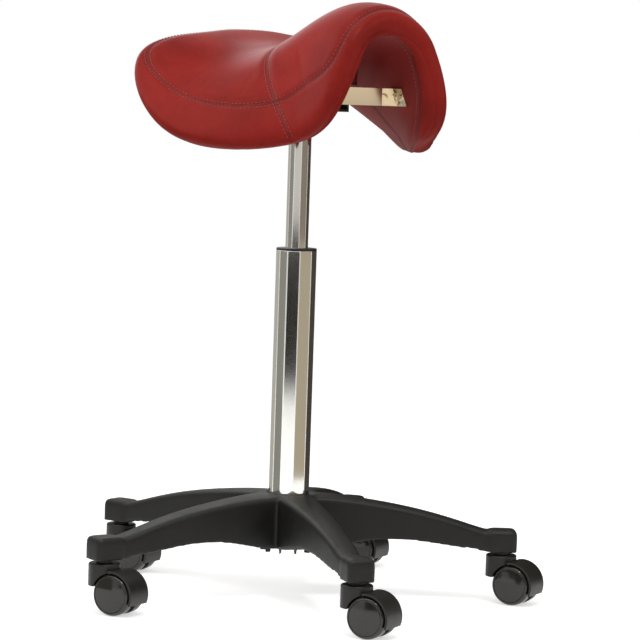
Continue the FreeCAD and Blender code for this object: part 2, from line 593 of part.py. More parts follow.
def saddle_plate():
    """Plate under the saddle with ears outside the channel, at the pivot and at the lock."""
    top = SADDLE_PLATE_Z + PLATE_THICK
    solid = box(-BLOCK_HALF_X, BLOCK_HALF_X, BLOCK_FRONT_Y, BLOCK_REAR_Y + PLATE_LIP, SADDLE_PLATE_Z, top)
    reach = LOCK_Y - PIVOT_Y
    low = PIVOT_Z - reach * math.sin(math.radians(TILT_DOWN_DEG)) - EAR_BELOW_SLOT
    for x0, x1 in ((-EAR_OUT, -EAR_IN), (EAR_IN, EAR_OUT)):
        front = box(x0, x1, PIVOT_Y - EAR_ROUND, PIVOT_Y + EAR_ROUND, PIVOT_Z, top)
        front = front.fuse(cross_rod(EAR_ROUND * 2, x0, x1, PIVOT_Y))
        rear = box(x0, x1, LOCK_Y - EAR_ROUND, LOCK_Y + EAR_ROUND, low, top)
        solid = solid.fuse([front, rear])
    wide = CHANNEL_WIDTH
    solid = solid.cut(cross_rod(PIVOT_DIA, -wide, wide, PIVOT_Y))
    pivot = V(0, PIVOT_Y, PIVOT_Z)
    slot_dia = LOCK_DIA + 2 * SLOT_GAP
    far, near = reach + slot_dia / 2, reach - slot_dia / 2
    slot = cross_rod(far * 2, -wide, wide, PIVOT_Y).cut(cross_rod(near * 2, -wide, wide, PIVOT_Y))
    limits = (-TILT_DOWN_DEG - SLOT_SPARE_DEG, TILT_UP_DEG + SLOT_SPARE_DEG)
    above = box(-wide, wide, PIVOT_Y, PIVOT_Y + far * 2, PIVOT_Z, PIVOT_Z + far)
    below = box(-wide, wide, PIVOT_Y, PIVOT_Y + far * 2, PIVOT_Z - far, PIVOT_Z)
    slot = slot.common(spun(above, limits[0], X_AXIS, pivot)).common(spun(below, limits[1], X_AXIS, pivot))
    ends = [spun(cross_rod(slot_dia, -wide, wide), angle, X_AXIS, pivot) for angle in limits]
    solid = solid.cut(slot.fuse(ends))
    for x, y in bolt_places():
        solid = solid.cut(cylinder(BOLT_DIA, SADDLE_PLATE_Z - 1, SADDLE_PLATE_Z + PLATE_THICK + 1, x, y))
    return solid.removeSplitter()


def bolt_places():
    for sx in (-1, 1):
        for sy in (-1, 1):
            yield sx * BOLT_SPACING_X / 2, BOLT_CENTRE_Y + sy * BOLT_SPACING_Y / 2


def lever_rod():
    """Bent rod: tip over the valve pin, pivot, then out and down beside the column."""
    tip = V(LEVER_TIP_X, 0, LEVER_Z)
    bend = V(-LEVER_BEND_X, 0, LEVER_Z)
    drop = V(-LEVER_DROP_X, 0, LEVER_END_Z)
    end = V(-LEVER_END_X, 0, LEVER_END_Z)
    solid = rod(LEVER_DIA, tip, bend).fuse([
        rod(LEVER_DIA, bend, drop), rod(LEVER_DIA, drop, end),
        Part.makeSphere(LEVER_DIA / 2, bend), Part.makeSphere(LEVER_DIA / 2, drop)])
    hole_dia = LEVER_PIN_DIA + 2 * RUNNING_GAP
    hole = rod(hole_dia, V(LEVER_PIVOT_X, -LEVER_DIA, LEVER_Z), V(LEVER_PIVOT_X, LEVER_DIA, LEVER_Z))
    return solid.cut(hole).removeSplitter()


def lever_grip():
    start = V(-LEVER_DROP_X - GRIP_START_GAP, 0, LEVER_END_Z)
    end = V(-LEVER_END_X, 0, LEVER_END_Z)
    grip = rod(GRIP_DIA, start, V(-LEVER_END_X - GRIP_CAP, 0, LEVER_END_Z))
    rims = [e for e in grip.Edges if e.BoundBox.XLength < 0.01]
    return grip.makeFillet(GRIP_ROUND, rims).cut(rod(LEVER_DIA, start, end))


def pivot_pin():
    """Pin fixed in the ears, with a head on each side."""
    end = EAR_OUT + PIN_HEAD_THICK
    pin = cross_rod(PIVOT_DIA, -end, end, PIVOT_Y)
    heads = [cross_rod(PIN_HEAD_DIA, -end, -EAR_OUT, PIVOT_Y), cross_rod(PIN_HEAD_DIA, EAR_OUT, end, PIVOT_Y)]
    return pin.fuse(heads).removeSplitter()


def lock_parts():
    """Clamping bolt, its lever on the rider's left, and the nut that keeps the lever on."""
    lever_in = EAR_OUT + LOCK_SIDE_GAP
    lever_out = lever_in + LOCK_ARM_THICK
    nut_in = lever_out + LOCK_SIDE_GAP
    nut_out = nut_in + LOCK_HEAD_THICK
    head_in = -EAR_OUT - LOCK_SIDE_GAP
    bolt = cross_rod(LOCK_DIA, head_in - LOCK_HEAD_THICK, nut_out)
    bolt = bolt.fuse(cross_rod(LOCK_HEAD_DIA, head_in - LOCK_HEAD_THICK, head_in))
    nut = cross_rod(LOCK_HEAD_DIA, nut_in, nut_out).cut(cross_rod(LOCK_DIA, nut_in - 1, nut_out + 1))
    tail_y = LOCK_Y + LOCK_ARM_LENGTH
    half = LOCK_ARM_WIDTH / 2
    lever = box(lever_in, lever_out, LOCK_Y, tail_y, PIVOT_Z - half, PIVOT_Z + half)
    lever = lever.fuse([cross_rod(LOCK_ARM_WIDTH, lever_in, lever_out),
                        cross_rod(LOCK_ARM_WIDTH, lever_in, lever_out, tail_y)])
    lever = lever.cut(cross_rod(LOCK_DIA + 2 * RUNNING_GAP, lever_in - 1, lever_out + 1))
    return bolt.removeSplitter(), lever.removeSplitter(), nut


# Saddle

def spline(values, s):
    """Smooth curve through evenly spaced values, for s from -1 to 1, with free ends."""
    count = len(values)
    bend = [0.0] * count
    for _ in range(60):
        for k in range(1, count - 1):
            pull = 6.0 * (values[k - 1] - 2 * values[k] + values[k + 1])
            bend[k] = (pull - bend[k - 1] - bend[k + 1]) / 4.0
    place = (s + 1) / 2 * (count - 1)
    k = min(int(place), count - 2)
    t = place - k
    u = 1 - t
    straight = u * values[k] + t * values[k + 1]
    return straight + ((u ** 3 - u) * bend[k] + (t ** 3 - t) * bend[k + 1]) / 6.0


class Section:
    """Upright cut through the saddle at a station s, -1 at the rear and 1 at the front."""

    def __init__(self, s):
        power = CORNER_POWER_REAR if s < 0 else CORNER_POWER_FRONT
        self.a = SADDLE_REAR_A + (SADDLE_FRONT_A - SADDLE_REAR_A) * (s + 1) / 2
        self.lean = LEAN_REAR + (LEAN_FRONT - LEAN_REAR) * (s + 1) / 2
        self.ridge = spline(RIDGE_Z, s)
        self.radius = spline(CROWN_RADIUS, s)
        self.girth = spline(HALF_GIRTH, s) * (1 - abs(s) ** power) ** (1 / power)
        self.thin = (1 - abs(s) ** END_ROUND_POWER) ** (1 / END_ROUND_ROOT)
        self.angle = math.radians(spline(FLAP_ANGLE_DEG, s))

    def point(self, along, offset, side=1):
        """Point at a girth distance from the ridge, raised off the middle layer."""
        turn = min(along / self.radius, self.turn)
        leg = along - self.radius * turn
        x = (self.radius + offset) * math.sin(turn) + leg * math.cos(turn)
        z = self.ridge - self.radius + (self.radius + offset) * math.cos(turn) - leg * math.sin(turn)
        return V(side * x, -(self.a - self.lean * (self.ridge - z)), z)

    def wire(self, above, below, inset):
        """Closed outline between two offsets, its rim drawn in by the inset."""
        above, below = above * self.thin, below * self.thin
        end = self.girth - inset
        middle = (above + below) / 2
        half = (above - below) / 2
        rim = min(half * RIM_DEPTH, end * 0.3)
        self.turn = min(self.angle, (end - rim - SHORTEST_LEG) / self.radius)
        bend = self.radius * self.turn
        last = end - rim
        slant = math.sqrt(0.5)

        def edge(offset_sign, side):
            return self.point(last + rim * slant, middle + offset_sign * half * slant, side)

        def run(offset, side):
            return line(self.point(bend, offset, side), self.point(last, offset, side))

        tips = {side: self.point(end, middle, side) for side in (1, -1)}
        edges = [arc(self.point(bend, above, -1), self.point(0, above), self.point(bend, above, 1))]
        edges += [run(above, 1), arc(self.point(last, above, 1), edge(1, 1), tips[1])]
        edges += [arc(tips[1], edge(-1, 1), self.point(last, below, 1)), run(below, 1)]
        edges += [arc(self.point(bend, below, 1), self.point(0, below), self.point(bend, below, -1))]
        edges += [run(below, -1), arc(self.point(last, below, -1), edge(-1, -1), tips[-1])]
        edges += [arc(tips[-1], edge(1, -1), self.point(last, above, -1)), run(above, -1)]
        return Part.Wire(Part.__sortEdges__(edges))


def saddle_solid(above, below, inset, shrink=0.0):
    """Lofted pad; shrink pulls the two ends in, as a share of the half length."""
    wires = [Section(s * (1 - shrink)).wire(above, below, inset) for s in STATIONS]
    return Part.makeLoft(wires, True)


def cover_panels(cover):
    """Cut the cover along its border seam and along the seam that crosses the ridge."""
    half_length = (SADDLE_FRONT_A - SADDLE_REAR_A) / 2
    top_room = saddle_solid(ROOM_DEPTH, 0.0, SEAM_INSET, SEAM_INSET * SEAM_END_SHARE / half_length)
    reach = SADDLE_FRONT_A * 2
    ridge = V(0, -SEAM_SPLIT_A, 0)
    half_space = box(-reach, reach, -SEAM_SPLIT_A - reach, -SEAM_SPLIT_A, 0, SADDLE_PLATE_Z * 2)
    ahead = spun(half_space, -SEAM_SPLIT_TURN_DEG, Z_AXIS, ridge)
    ahead = ahead.common(spun(half_space, SEAM_SPLIT_TURN_DEG, Z_AXIS, ridge))
    for name, shape in (("top", cover.common(top_room)), ("border", cover.cut(top_room))):
        export("cover_%s_front" % name, shape.common(ahead))
        export("cover_%s_rear" % name, shape.cut(ahead))


def leg_point(a, z, offset):
    """Point of a layer of the leg at a distance ahead and a height."""
    low_s, high_s = 0.0, 0.95
    for _ in range(30):
        s = (low_s + high_s) / 2
        section = Section(s)
        section.turn = section.angle
        near, far = 0.0, section.girth
        for _ in range(30):
            along = (near + far) / 2
            if section.point(along, offset).z > z:
                near = along
            else:
                far = along
        point = section.point(along, offset)
        if -point.y < a:
            low_s = s
        else:
            high_s = s
    outward = section.point(along, offset + 1.0).sub(point)
    return point, outward.normalize()


def front_bracket(arch):
    """Strap across the arch, its wings angled back, with a flange lying on each leg."""
    y, back = -BRACKET_A, BRACKET_THICK
    reach = BRACKET_WING_X * 2
    slope = BRACKET_WING_BACK / (BRACKET_WING_X - BRACKET_FLAT_HALF)
    far_y = y + (reach - BRACKET_FLAT_HALF) * slope
    plan = [(-reach, far_y), (-BRACKET_FLAT_HALF, y), (BRACKET_FLAT_HALF, y), (reach, far_y),
            (reach, far_y + back), (BRACKET_FLAT_HALF, y + back), (-BRACKET_FLAT_HALF, y + back),
            (-reach, far_y + back)]
    corners = [V(px, py, BRACKET_BOTTOM_Z) for px, py in plan]
    strap = Part.Face(Part.makePolygon(corners + corners[:1])).extrude(V(0, 0, BRACKET_HEIGHT))
    layer = saddle_solid(-PAD_BELOW, -PAD_BELOW - FLANGE_THICK, 0.0)
    solid = strap.common(arch)
    rear = y + BRACKET_WING_BACK + back
    top = BRACKET_BOTTOM_Z + BRACKET_HEIGHT
    for x0, x1 in ((-reach, -BRACKET_FLAT_HALF), (BRACKET_FLAT_HALF, reach)):
        solid = solid.fuse(layer.common(box(x0, x1, rear - FLANGE_LENGTH, rear, BRACKET_BOTTOM_Z, top)))
    return solid.removeSplitter()


def bracket_screws():
    """Two screws through each flange into the board."""
    screws = []
    z = BRACKET_BOTTOM_Z + BRACKET_HEIGHT / 2
    middle = BRACKET_A - BRACKET_WING_BACK - BRACKET_THICK + FLANGE_LENGTH / 2
    for shift in (-SCREW_SPACING / 2, SCREW_SPACING / 2):
        point, outward = leg_point(middle + shift, z, -PAD_BELOW - FLANGE_THICK)
        for side in (-1, 1):
            start = V(side * point.x, point.y, point.z)
            along = V(side * outward.x, outward.y, outward.z)
            head_end = start.sub(along * SCREW_HEAD_THICK)
            body = rod(SCREW_DIA, head_end, start + along * SCREW_LENGTH)
            screws.append(body.fuse(rod(SCREW_HEAD_DIA, head_end, start)).removeSplitter())
    return screws


def plate_bolts(board):
    """Bolts through the plate, and the rooms of their inserts, as high as the board allows."""
    bolts, rooms = [], []
    low = SADDLE_PLATE_Z
    for x, y in bolt_places():
        probe = board.common(line(V(x, y, low), V(x, y, RIDGE_Z[0])))
        high = probe.BoundBox.ZMax - BOLT_COVER
        shank = cylinder(BOLT_DIA, low - BOLT_HEAD_HEIGHT, high, x, y)
        head = cylinder(BOLT_HEAD_DIA, low - BOLT_HEAD_HEIGHT, low, x, y)
        bolts.append(shank.fuse(head).removeSplitter())
        rooms.append(cylinder(NUT_DIA, low, high, x, y))
    return bolts, rooms


def build_saddle():
    half_length = (SADDLE_FRONT_A - SADDLE_REAR_A) / 2
    outer = saddle_solid(PAD_ABOVE, -PAD_BELOW, 0.0)
    inner = saddle_solid(PAD_ABOVE - LEATHER_THICK, LEATHER_THICK - PAD_BELOW, LEATHER_THICK,
                         LEATHER_THICK / half_length)
    board_top = LEATHER_THICK + BOARD_THICK - PAD_BELOW
    board_room = saddle_solid(board_top, -ROOM_DEPTH, BOARD_INSET, BOARD_INSET / half_length)
    lining_room = saddle_solid(board_top, -ROOM_DEPTH, LINING_INSET, LINING_INSET / half_length)
    skin = outer.cut(inner)
    cover_panels(skin.cut(lining_room))
    screws = bracket_screws()
    board = inner.common(board_room)
    bolts, nut_rooms = plate_bolts(board)
    nuts = [board.common(room).cut(bolt) for room, bolt in zip(nut_rooms, bolts)]
    for room in nut_rooms:
        board = board.cut(room)
    lining = skin.common(lining_room)
    arch = saddle_solid(-PAD_BELOW, -PAD_BELOW - BRACKET_WING_X * 2, 0.0)
    block = box(-BLOCK_HALF_X, BLOCK_HALF_X, BLOCK_FRONT_Y, BLOCK_REAR_Y,
                SADDLE_PLATE_Z + PLATE_THICK, RIDGE_Z[2]).cut(outer)
    for bolt in bolts:
        lining, block = lining.cut(bolt), block.cut(bolt)
    bracket = front_bracket(arch)
    for screw in screws:
        lining, board, bracket = lining.cut(screw), board.cut(screw), bracket.cut(screw)
    export("foam_pad", inner.cut(board_room))
    export("shell_board", board)
    export("under_lining", lining)
    export("spacer_block", block)
    export("plate_bolts", *bolts)
    export("threaded_inserts", *nuts)
    export("front_bracket", bracket)
    export("bracket_screws", *screws)


def main():
    os.makedirs("parts", exist_ok=True)
    build_casters()
    build_base()
    build_tube()
    build_rod()
    build_cylinder()
    export("column_head", column_head())
    export("lever_pin", lever_pin())
    export("lift_lever_rod", lever_rod())
    export("lift_lever_grip", lever_grip())
    bolt, lever, nut = lock_parts()
    export("lock_bolt", bolt)
    export("lock_lever", lever)
    export("lock_nut", nut)
    export("saddle_plate", saddle_plate())
    export("pivot_pin", pivot_pin())
    build_saddle()


main()
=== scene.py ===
"""Saddle stool, dressed: red leather saddle, chromed lift, moulded nylon base and casters.

Metres, in the frame's own axes: +Z up, saddle front along -Y, rider's left along +X.
"""

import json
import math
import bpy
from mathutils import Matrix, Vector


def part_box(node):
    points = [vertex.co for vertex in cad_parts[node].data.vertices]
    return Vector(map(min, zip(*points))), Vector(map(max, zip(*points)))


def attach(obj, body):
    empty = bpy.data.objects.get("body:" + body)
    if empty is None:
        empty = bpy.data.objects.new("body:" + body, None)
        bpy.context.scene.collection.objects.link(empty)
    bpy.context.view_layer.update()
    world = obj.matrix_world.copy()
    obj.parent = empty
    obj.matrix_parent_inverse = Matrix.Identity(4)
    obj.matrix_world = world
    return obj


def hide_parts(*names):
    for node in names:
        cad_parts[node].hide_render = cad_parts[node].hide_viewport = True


bl_info = {
    "name": "Saddle stool",
    "version": (1, 0, 0),
    "blender": (4, 5, 0),
    "location": "View3D > Sidebar > Saddle stool",
    "description": "Leather saddle, chromed lift, moulded base and casters on the stool's frame",
    "category": "Object",
}

import bmesh
import bpy
import numpy as np
from bpy.props import FloatProperty, FloatVectorProperty, PointerProperty
from mathutils import Matrix, Vector

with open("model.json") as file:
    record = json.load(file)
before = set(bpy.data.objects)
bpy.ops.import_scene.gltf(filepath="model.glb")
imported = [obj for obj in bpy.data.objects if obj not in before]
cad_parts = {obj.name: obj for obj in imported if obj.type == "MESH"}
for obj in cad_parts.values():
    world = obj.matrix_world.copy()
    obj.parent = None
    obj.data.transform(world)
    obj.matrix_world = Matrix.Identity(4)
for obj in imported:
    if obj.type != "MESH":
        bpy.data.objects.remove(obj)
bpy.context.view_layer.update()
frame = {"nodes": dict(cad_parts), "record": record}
NODES = frame["nodes"]
TAU = 2 * math.pi


# Sizes of the saddle, in metres. Lists of five run from the rear to the front, and lists of nine from
# the front to the rear every 22.5 degrees. Seams and edges lie between 0, the middle, and 1, the rim.

PLATE_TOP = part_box("spacer_block")[0][2]
REAR_AHEAD, FRONT_AHEAD = -0.1194, 0.1726       # the pad's ends, ahead of the column's axis
RIDGE_RISE = [0.0599, 0.0247, 0.0357, 0.0730, 0.0704]       # of the middle layer above the plate
CROWN_RADIUS = [0.2749, 0.2174, 0.1204, 0.0603, 0.0700]
FLARE_DEG = [5.8, 31.6, 48.1, 65.1, 60.5]       # slope of the straight legs
HALF_GIRTH = [0.2147, 0.2151, 0.2043, 0.2003, 0.2174]
LEAN_REAR, LEAN_FRONT = -0.28, -0.14            # shift back per metre of drop, so forward here
POWER_REAR, POWER_FRONT = 5.45, 2.78            # of the rim's superellipse
ABOVE, BELOW = 0.0204, 0.0182                   # the skin's distance off the middle layer
REAR_SIDES, REAR_RIDGE = 0.0042, 0.0056         # filling added at the sides, taken off the ridge
REAR_START, REAR_FADE = -0.5, 0.35
SIDE_PLACE, SIDE_WIDTH, RIDGE_WIDTH = 0.55, 0.22, 0.28
ROUND_POWER, ROUND_ROOT = 9.0, 2.2
ROUND_START = 0.86              # where the grid starts to gather towards the rim
ROUND_TURN = ROUND_START / (ROUND_START + (1 - ROUND_START) * math.pi / 2)
BORDER_SEAM = [0.905, 0.900, 0.770, 0.750, 0.760, 0.835, 0.955, 0.985, 0.985]
LINING_EDGE = [0.957, 0.968, 0.966, 0.964, 0.956, 0.944, 0.946, 0.928, 0.880]
INNER_SEAM = [0.865, 0.865, 0.880, 0.945, 0.944, 0.930, 0.930, 0.905, 0.850]
ROW_INSIDE = 0.022              # the lining's row of stitches inside that seam
BOARD_EDGE = 0.0052             # how far the board's edge fills out the underside
EDGE_SHARE = [0.45, 0.75, 1.0, 1.0, 0.85, 0.35, 0.0, 0.0, 0.0]      # shares of it
EDGE_START, EDGE_RISE, EDGE_FALL = 0.82, 0.10, 0.05
CROSS_SEAM = (-0.086, 0.607)    # start and sweep of the seams across
LINING_SEAM = (-0.05, 0.16)


def smooth_curve(values, where):
    """Natural cubic spline through evenly spaced values, read at places from -1 to 1."""
    values = np.asarray(values, float)
    count = len(values)
    rows = np.eye(count) * 4 + np.eye(count, k=1) + np.eye(count, k=-1)
    rows[0], rows[-1] = 0, 0
    rows[0, 0], rows[-1, -1] = 1, 1
    pull = np.zeros(count)
    pull[1:-1] = 6 * (values[:-2] - 2 * values[1:-1] + values[2:])
    bend = np.linalg.solve(rows, pull)
    place = (np.clip(where, -1, 1) + 1) / 2 * (count - 1)
    k = np.clip(place.astype(int), 0, count - 2)
    t = place - k
    u = 1 - t
    straight = u * values[k] + t * values[k + 1]
    return straight + ((u ** 3 - u) * bend[k] + (t ** 3 - t) * bend[k + 1]) / 6


def unit(vectors, least=0.0):
    """Vectors over their length, or over least where they are shorter than that."""
    return vectors / np.maximum(np.linalg.norm(vectors, axis=-1, keepdims=True), least)


def middle_layer(s, tau):
    """Middle of the pad: s runs from -1 at the rear to 1 at the front, tau from -1 to 1 across.

    Each cross section is an arc over the ridge that goes on as a straight leg on each side.
    """
    crown = smooth_curve(CROWN_RADIUS, s)
    flare = np.radians(smooth_curve(FLARE_DEG, s))
    along = np.abs(tau) * smooth_curve(HALF_GIRTH, s)
    turn = np.minimum(along / crown, flare)
    leg = np.maximum(along - crown * flare, 0)
    across = crown * np.sin(turn) + leg * np.cos(flare)
    drop = crown * (1 - np.cos(turn)) + leg * np.sin(flare)
    share = (s + 1) / 2
    lean = LEAN_REAR + (LEAN_FRONT - LEAN_REAR) * share
    ahead = REAR_AHEAD + (FRONT_AHEAD - REAR_AHEAD) * share - lean * drop
    height = PLATE_TOP + smooth_curve(RIDGE_RISE, s) - drop
    return np.stack([np.sign(tau) * across, -ahead, height], -1)


def layer_normal(s, tau):
    """Upward unit normal of the middle layer, from its two slopes."""
    step = 1e-3
    ds = middle_layer(s + step, tau) - middle_layer(s - step, tau)
    dt = middle_layer(s, tau + step) - middle_layer(s, tau - step)
    normal = unit(np.cross(ds, dt))
    return normal * np.sign(normal[..., 2:3])


def to_polar(s, tau):
    """Share r of the way to the rim, a superellipse, and direction phi of a place.

    r = (|s| ** power + |tau| ** power) ** (1 / power), and phi is the angle of the two
    coordinates raised to power / 2, with their signs kept.
    """
    power = np.where(s < 0, POWER_REAR, POWER_FRONT)
    r = (np.abs(s) ** power + np.abs(tau) ** power) ** (1 / power)
    phi = np.arctan2(np.sign(tau) * np.abs(tau) ** (power / 2), np.sign(s) * np.abs(s) ** (power / 2))
    return np.clip(r, 0, 1), phi


def thinning(r):
    """Share of the pad's thickness left at r: (1 - r ** 9) ** (1 / 2.2)."""
    return (1 - np.clip(r, 0, 1) ** ROUND_POWER) ** (1 / ROUND_ROOT)


def rear_fullness(s, tau):
    """Filling that levels the rear: a bell curve more on each side, one less over the ridge.

    It fades in smoothly behind REAR_START.
    """
    fade = np.clip((REAR_START - s) / REAR_FADE, 0, 1)
    fade = fade * fade * (3 - 2 * fade)
    sides = REAR_SIDES * np.exp(-((np.abs(tau) - SIDE_PLACE) / SIDE_WIDTH) ** 2)
    return fade * (sides - REAR_RIDGE * np.exp(-(tau / RIDGE_WIDTH) ** 2))


def pad_point(s, tau, thickness):
    """Point of the pad's skin, off the middle layer by the thickness, which thins to the rim.

    Below, the board's edge fills the cover out: the extra rises from r = 0.82 to 0.92 and goes
    back as the square root of what is left to the rim.
    """
    r, phi = to_polar(s, tau)
    off = (thickness + (rear_fullness(s, tau) if thickness > 0 else 0)) * thinning(r)
    if thickness < 0:
        rise = np.clip((r - EDGE_START) / EDGE_RISE, 0, 1)
        fall = np.sqrt(np.clip((1 - r) / EDGE_FALL, 0, 1))
        off = off - BOARD_EDGE * ring_value(EDGE_SHARE, phi) * rise * fall
    return middle_layer(s, tau) + layer_normal(s, tau) * off[..., None]


def ring_value(values, phi):
    """Smooth value round the rim, given from front to rear and the same on both sides."""
    return smooth_curve(values, 2 * np.abs((phi + math.pi) % TAU - math.pi) / math.pi - 1)


# Mesh helpers

def grid_faces(rows, columns, wrap_rows=False, wrap_columns=False):
    """Quads of a grid of points stored row by row."""
    across, along = np.arange(rows - (not wrap_rows)), np.arange(columns - (not wrap_columns))
    a, b = np.meshgrid(across, along, indexing="ij")
    c, d = (a + 1) % rows, (b + 1) % columns
    corners = [a * columns + b, c * columns + b, c * columns + d, a * columns + d]
    return np.stack(corners, -1).reshape(-1, 4)


def new_mesh(name, points, faces):
    mesh = bpy.data.meshes.new(name)
    mesh.from_pydata(np.asarray(points).reshape(-1, 3).tolist(), [], np.asarray(faces).tolist())
    return mesh


def link(name, data):
    """Object of the scene with this mesh, lamp or camera."""
    obj = bpy.data.objects.new(name, data)
    bpy.context.scene.collection.objects.link(obj)
    return obj


def merge(mesh, distance, outwards):
    """Merge doubles, and turn the faces outwards if asked."""
    work = bmesh.new()
    work.from_mesh(mesh)
    bmesh.ops.remove_doubles(work, verts=work.verts, dist=distance)
    if outwards:
        bmesh.ops.recalc_face_normals(work, faces=work.faces)
    work.to_mesh(mesh)
    work.free()


def coordinates(mesh):
    out = np.empty(len(mesh.vertices) * 3)
    mesh.vertices.foreach_get("co", out)
    return out.reshape(-1, 3)


def shade_smooth(mesh):
    mesh.polygons.foreach_set("use_smooth", np.ones(len(mesh.polygons), bool))


def add_object(name, points, faces, sharp_deg=None):
    """Object from points and faces, with doubles merged, faces outwards and smooth shading."""
    mesh = new_mesh(name, points, faces)
    merge(mesh, 1e-6, True)
    shade_smooth(mesh)
    if sharp_deg:
        mesh.set_sharp_from_angle(angle=math.radians(sharp_deg))
    return link(name, mesh)


def rounded(corners, steps=5):
    """Profile through (r, h, radius) corners, each rounded by a parabola that starts radius away."""
    path = np.array([c[:2] for c in corners], float)
    out = []
    for k, (_, _, radius) in enumerate(corners):
        if radius == 0 or k in (0, len(corners) - 1):
            out.append(path[k][None])
            continue
        before, after = path[k - 1] - path[k], path[k + 1] - path[k]
        start, end = (path[k] + side / np.linalg.norm(side) * min(radius, np.linalg.norm(side) * 0.49)
                      for side in (before, after))
        t = np.linspace(0, 1, steps)[:, None]
        out.append((1 - t) ** 2 * start + 2 * t * (1 - t) * path[k] + t ** 2 * end)
    return np.concatenate(out)


def held_straight(profile, near=0.0004):
    """Profile with a point just inside each end of its long runs, so that they shade straight."""
    ahead = np.diff(profile, axis=0)
    length = np.linalg.norm(ahead, axis=1)
    step = ahead / np.maximum(length, 1e-9)[:, None] * near
    trio = np.stack([profile[:-1], profile[:-1] + step, profile[1:] - step], 1)
    keep = np.ones(trio.shape[:2], bool)
    keep[:, 1:] = (length > near * 5)[:, None]
    return np.concatenate([trio[keep], profile[-1:]])


def turned(name, corners, centre=(0, 0, 0), axis=(0, 0, 1), segments=128, closed=False,
           sharp_deg=40):
    """Surface of revolution: each (r, h) of the rounded profile goes round the axis."""
    profile = held_straight(rounded(corners))
    angle = np.linspace(0, TAU, segments, endpoint=False)
    r, h = profile[:, 0][:, None], profile[:, 1][:, None]
    points = np.stack([r * np.cos(angle), r * np.sin(angle), h + 0 * angle], -1)
    turn = np.array(Vector((0, 0, 1)).rotation_difference(Vector(axis)).to_matrix())
    points = points @ turn.T + np.array(centre)
    return add_object(name, points, grid_faces(len(profile), segments, closed, True), sharp_deg)


def tube_along(name, path, radius, sides=8, closed=False):
    """Round tube: a circle of the radius carried along the path, square to its tangent."""
    path = np.asarray(path)
    tangent = np.roll(path, -1, 0) - np.roll(path, 1, 0) if closed else np.gradient(path, axis=0)
    tangent = unit(tangent)
    side = unit(np.cross(tangent, [0.13, 0.21, 0.97]))
    up = np.cross(side, tangent)
    angle = np.linspace(0, TAU, sides, endpoint=False)
    ring = side[:, None] * np.cos(angle)[:, None] + up[:, None] * np.sin(angle)[:, None]
    faces = grid_faces(len(path), sides, closed, True)
    return add_object(name, path[:, None] + ring * radius, faces)


def dress(obj, body, slot, material, *nodes):
    """Give a finished piece its material and body, and hide the nodes it stands for."""
    obj.data.materials.clear()
    obj.data.materials.append(material)
    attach(obj, body)
    if nodes:
        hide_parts(*nodes)
    return obj


# Materials

class Term:
    """A socket in shader maths: + and * add Math nodes."""

    def __init__(self, shader, socket):
        self.shader, self.socket = shader, socket

    def _with(self, operation, first, second):
        return self.shader.add("ShaderNodeMath", {"operation": operation}, {0: first, 1: second})

    def __add__(self, other):
        return self._with("ADD", self, other)

    def __radd__(self, other):
        return self._with("ADD", other, self)

    def __mul__(self, other):
        return self._with("MULTIPLY", self, other)

    def __rmul__(self, other):
        return self._with("MULTIPLY", other, self)


class Shader:
    """One material and its Principled shader."""

    def __init__(self, name, **constants):
        self.material = bpy.data.materials.new(name)
        self.material.use_nodes = True
        self.tree = self.material.node_tree
        self.surface = self.tree.nodes["Principled BSDF"]
        for key, value in constants.items():
            self.surface.inputs[key.replace("_", " ")].default_value = value
        self.place = self.add("ShaderNodeTexCoord", {}, {}, "Object")

    def add(self, kind, settings, inputs, output=0):
        """New node with its settings and the values or links of its sockets."""
        node = self.tree.nodes.new(kind)
        for key, value in settings.items():
            setattr(node, key, value)
        for key, value in inputs.items():
            if isinstance(value, Term):
                self.tree.links.new(value.socket, node.inputs[key])
            else:
                node.inputs[key].default_value = value
        return Term(self, node.outputs[output])

    def set(self, socket, term):
        self.tree.links.new(term.socket, self.surface.inputs[socket])

    def noise(self, scale, detail=2.0, roughness=0.5):
        values = {"Vector": self.place, "Scale": scale, "Detail": detail, "Roughness": roughness}
        return self.add("ShaderNodeTexNoise", {"noise_dimensions": "3D"}, values, "Fac")

    def cells(self, scale):
        """Distance to the nearest edge between cells."""
        values = {"Vector": self.place, "Scale": scale}
        return self.add("ShaderNodeTexVoronoi", {"feature": "DISTANCE_TO_EDGE"}, values, "Distance")

    def limited(self, term, low, high, to_low=0.0, to_high=1.0):
        values = {"Value": term, "From Min": low, "From Max": high, "To Min": to_low, "To Max": to_high}
        return self.add("ShaderNodeMapRange", {"clamp": True}, values, "Result")

    def mix(self, amount, first, second):
        """Colour that goes from the first to the second."""
        node = self.tree.nodes.new("ShaderNodeMix")
        node.data_type = "RGBA"
        self.tree.links.new(amount.socket, node.inputs["Factor"])
        ends = [socket for socket in node.inputs if socket.type == "RGBA"]
        for socket, colour in zip(ends, (first, second)):
            socket.default_value = (*colour, 1)
        return Term(self, [socket for socket in node.outputs if socket.type == "RGBA"][0])

    def bump(self, height, strength, distance, below=None):
        values = {"Height": height, "Strength": strength, "Distance": distance}
        if below:
            values["Normal"] = below
        return self.add("ShaderNodeBump", {}, values, "Normal")


def tint(colour, share):
    return tuple(c * share for c in colour)


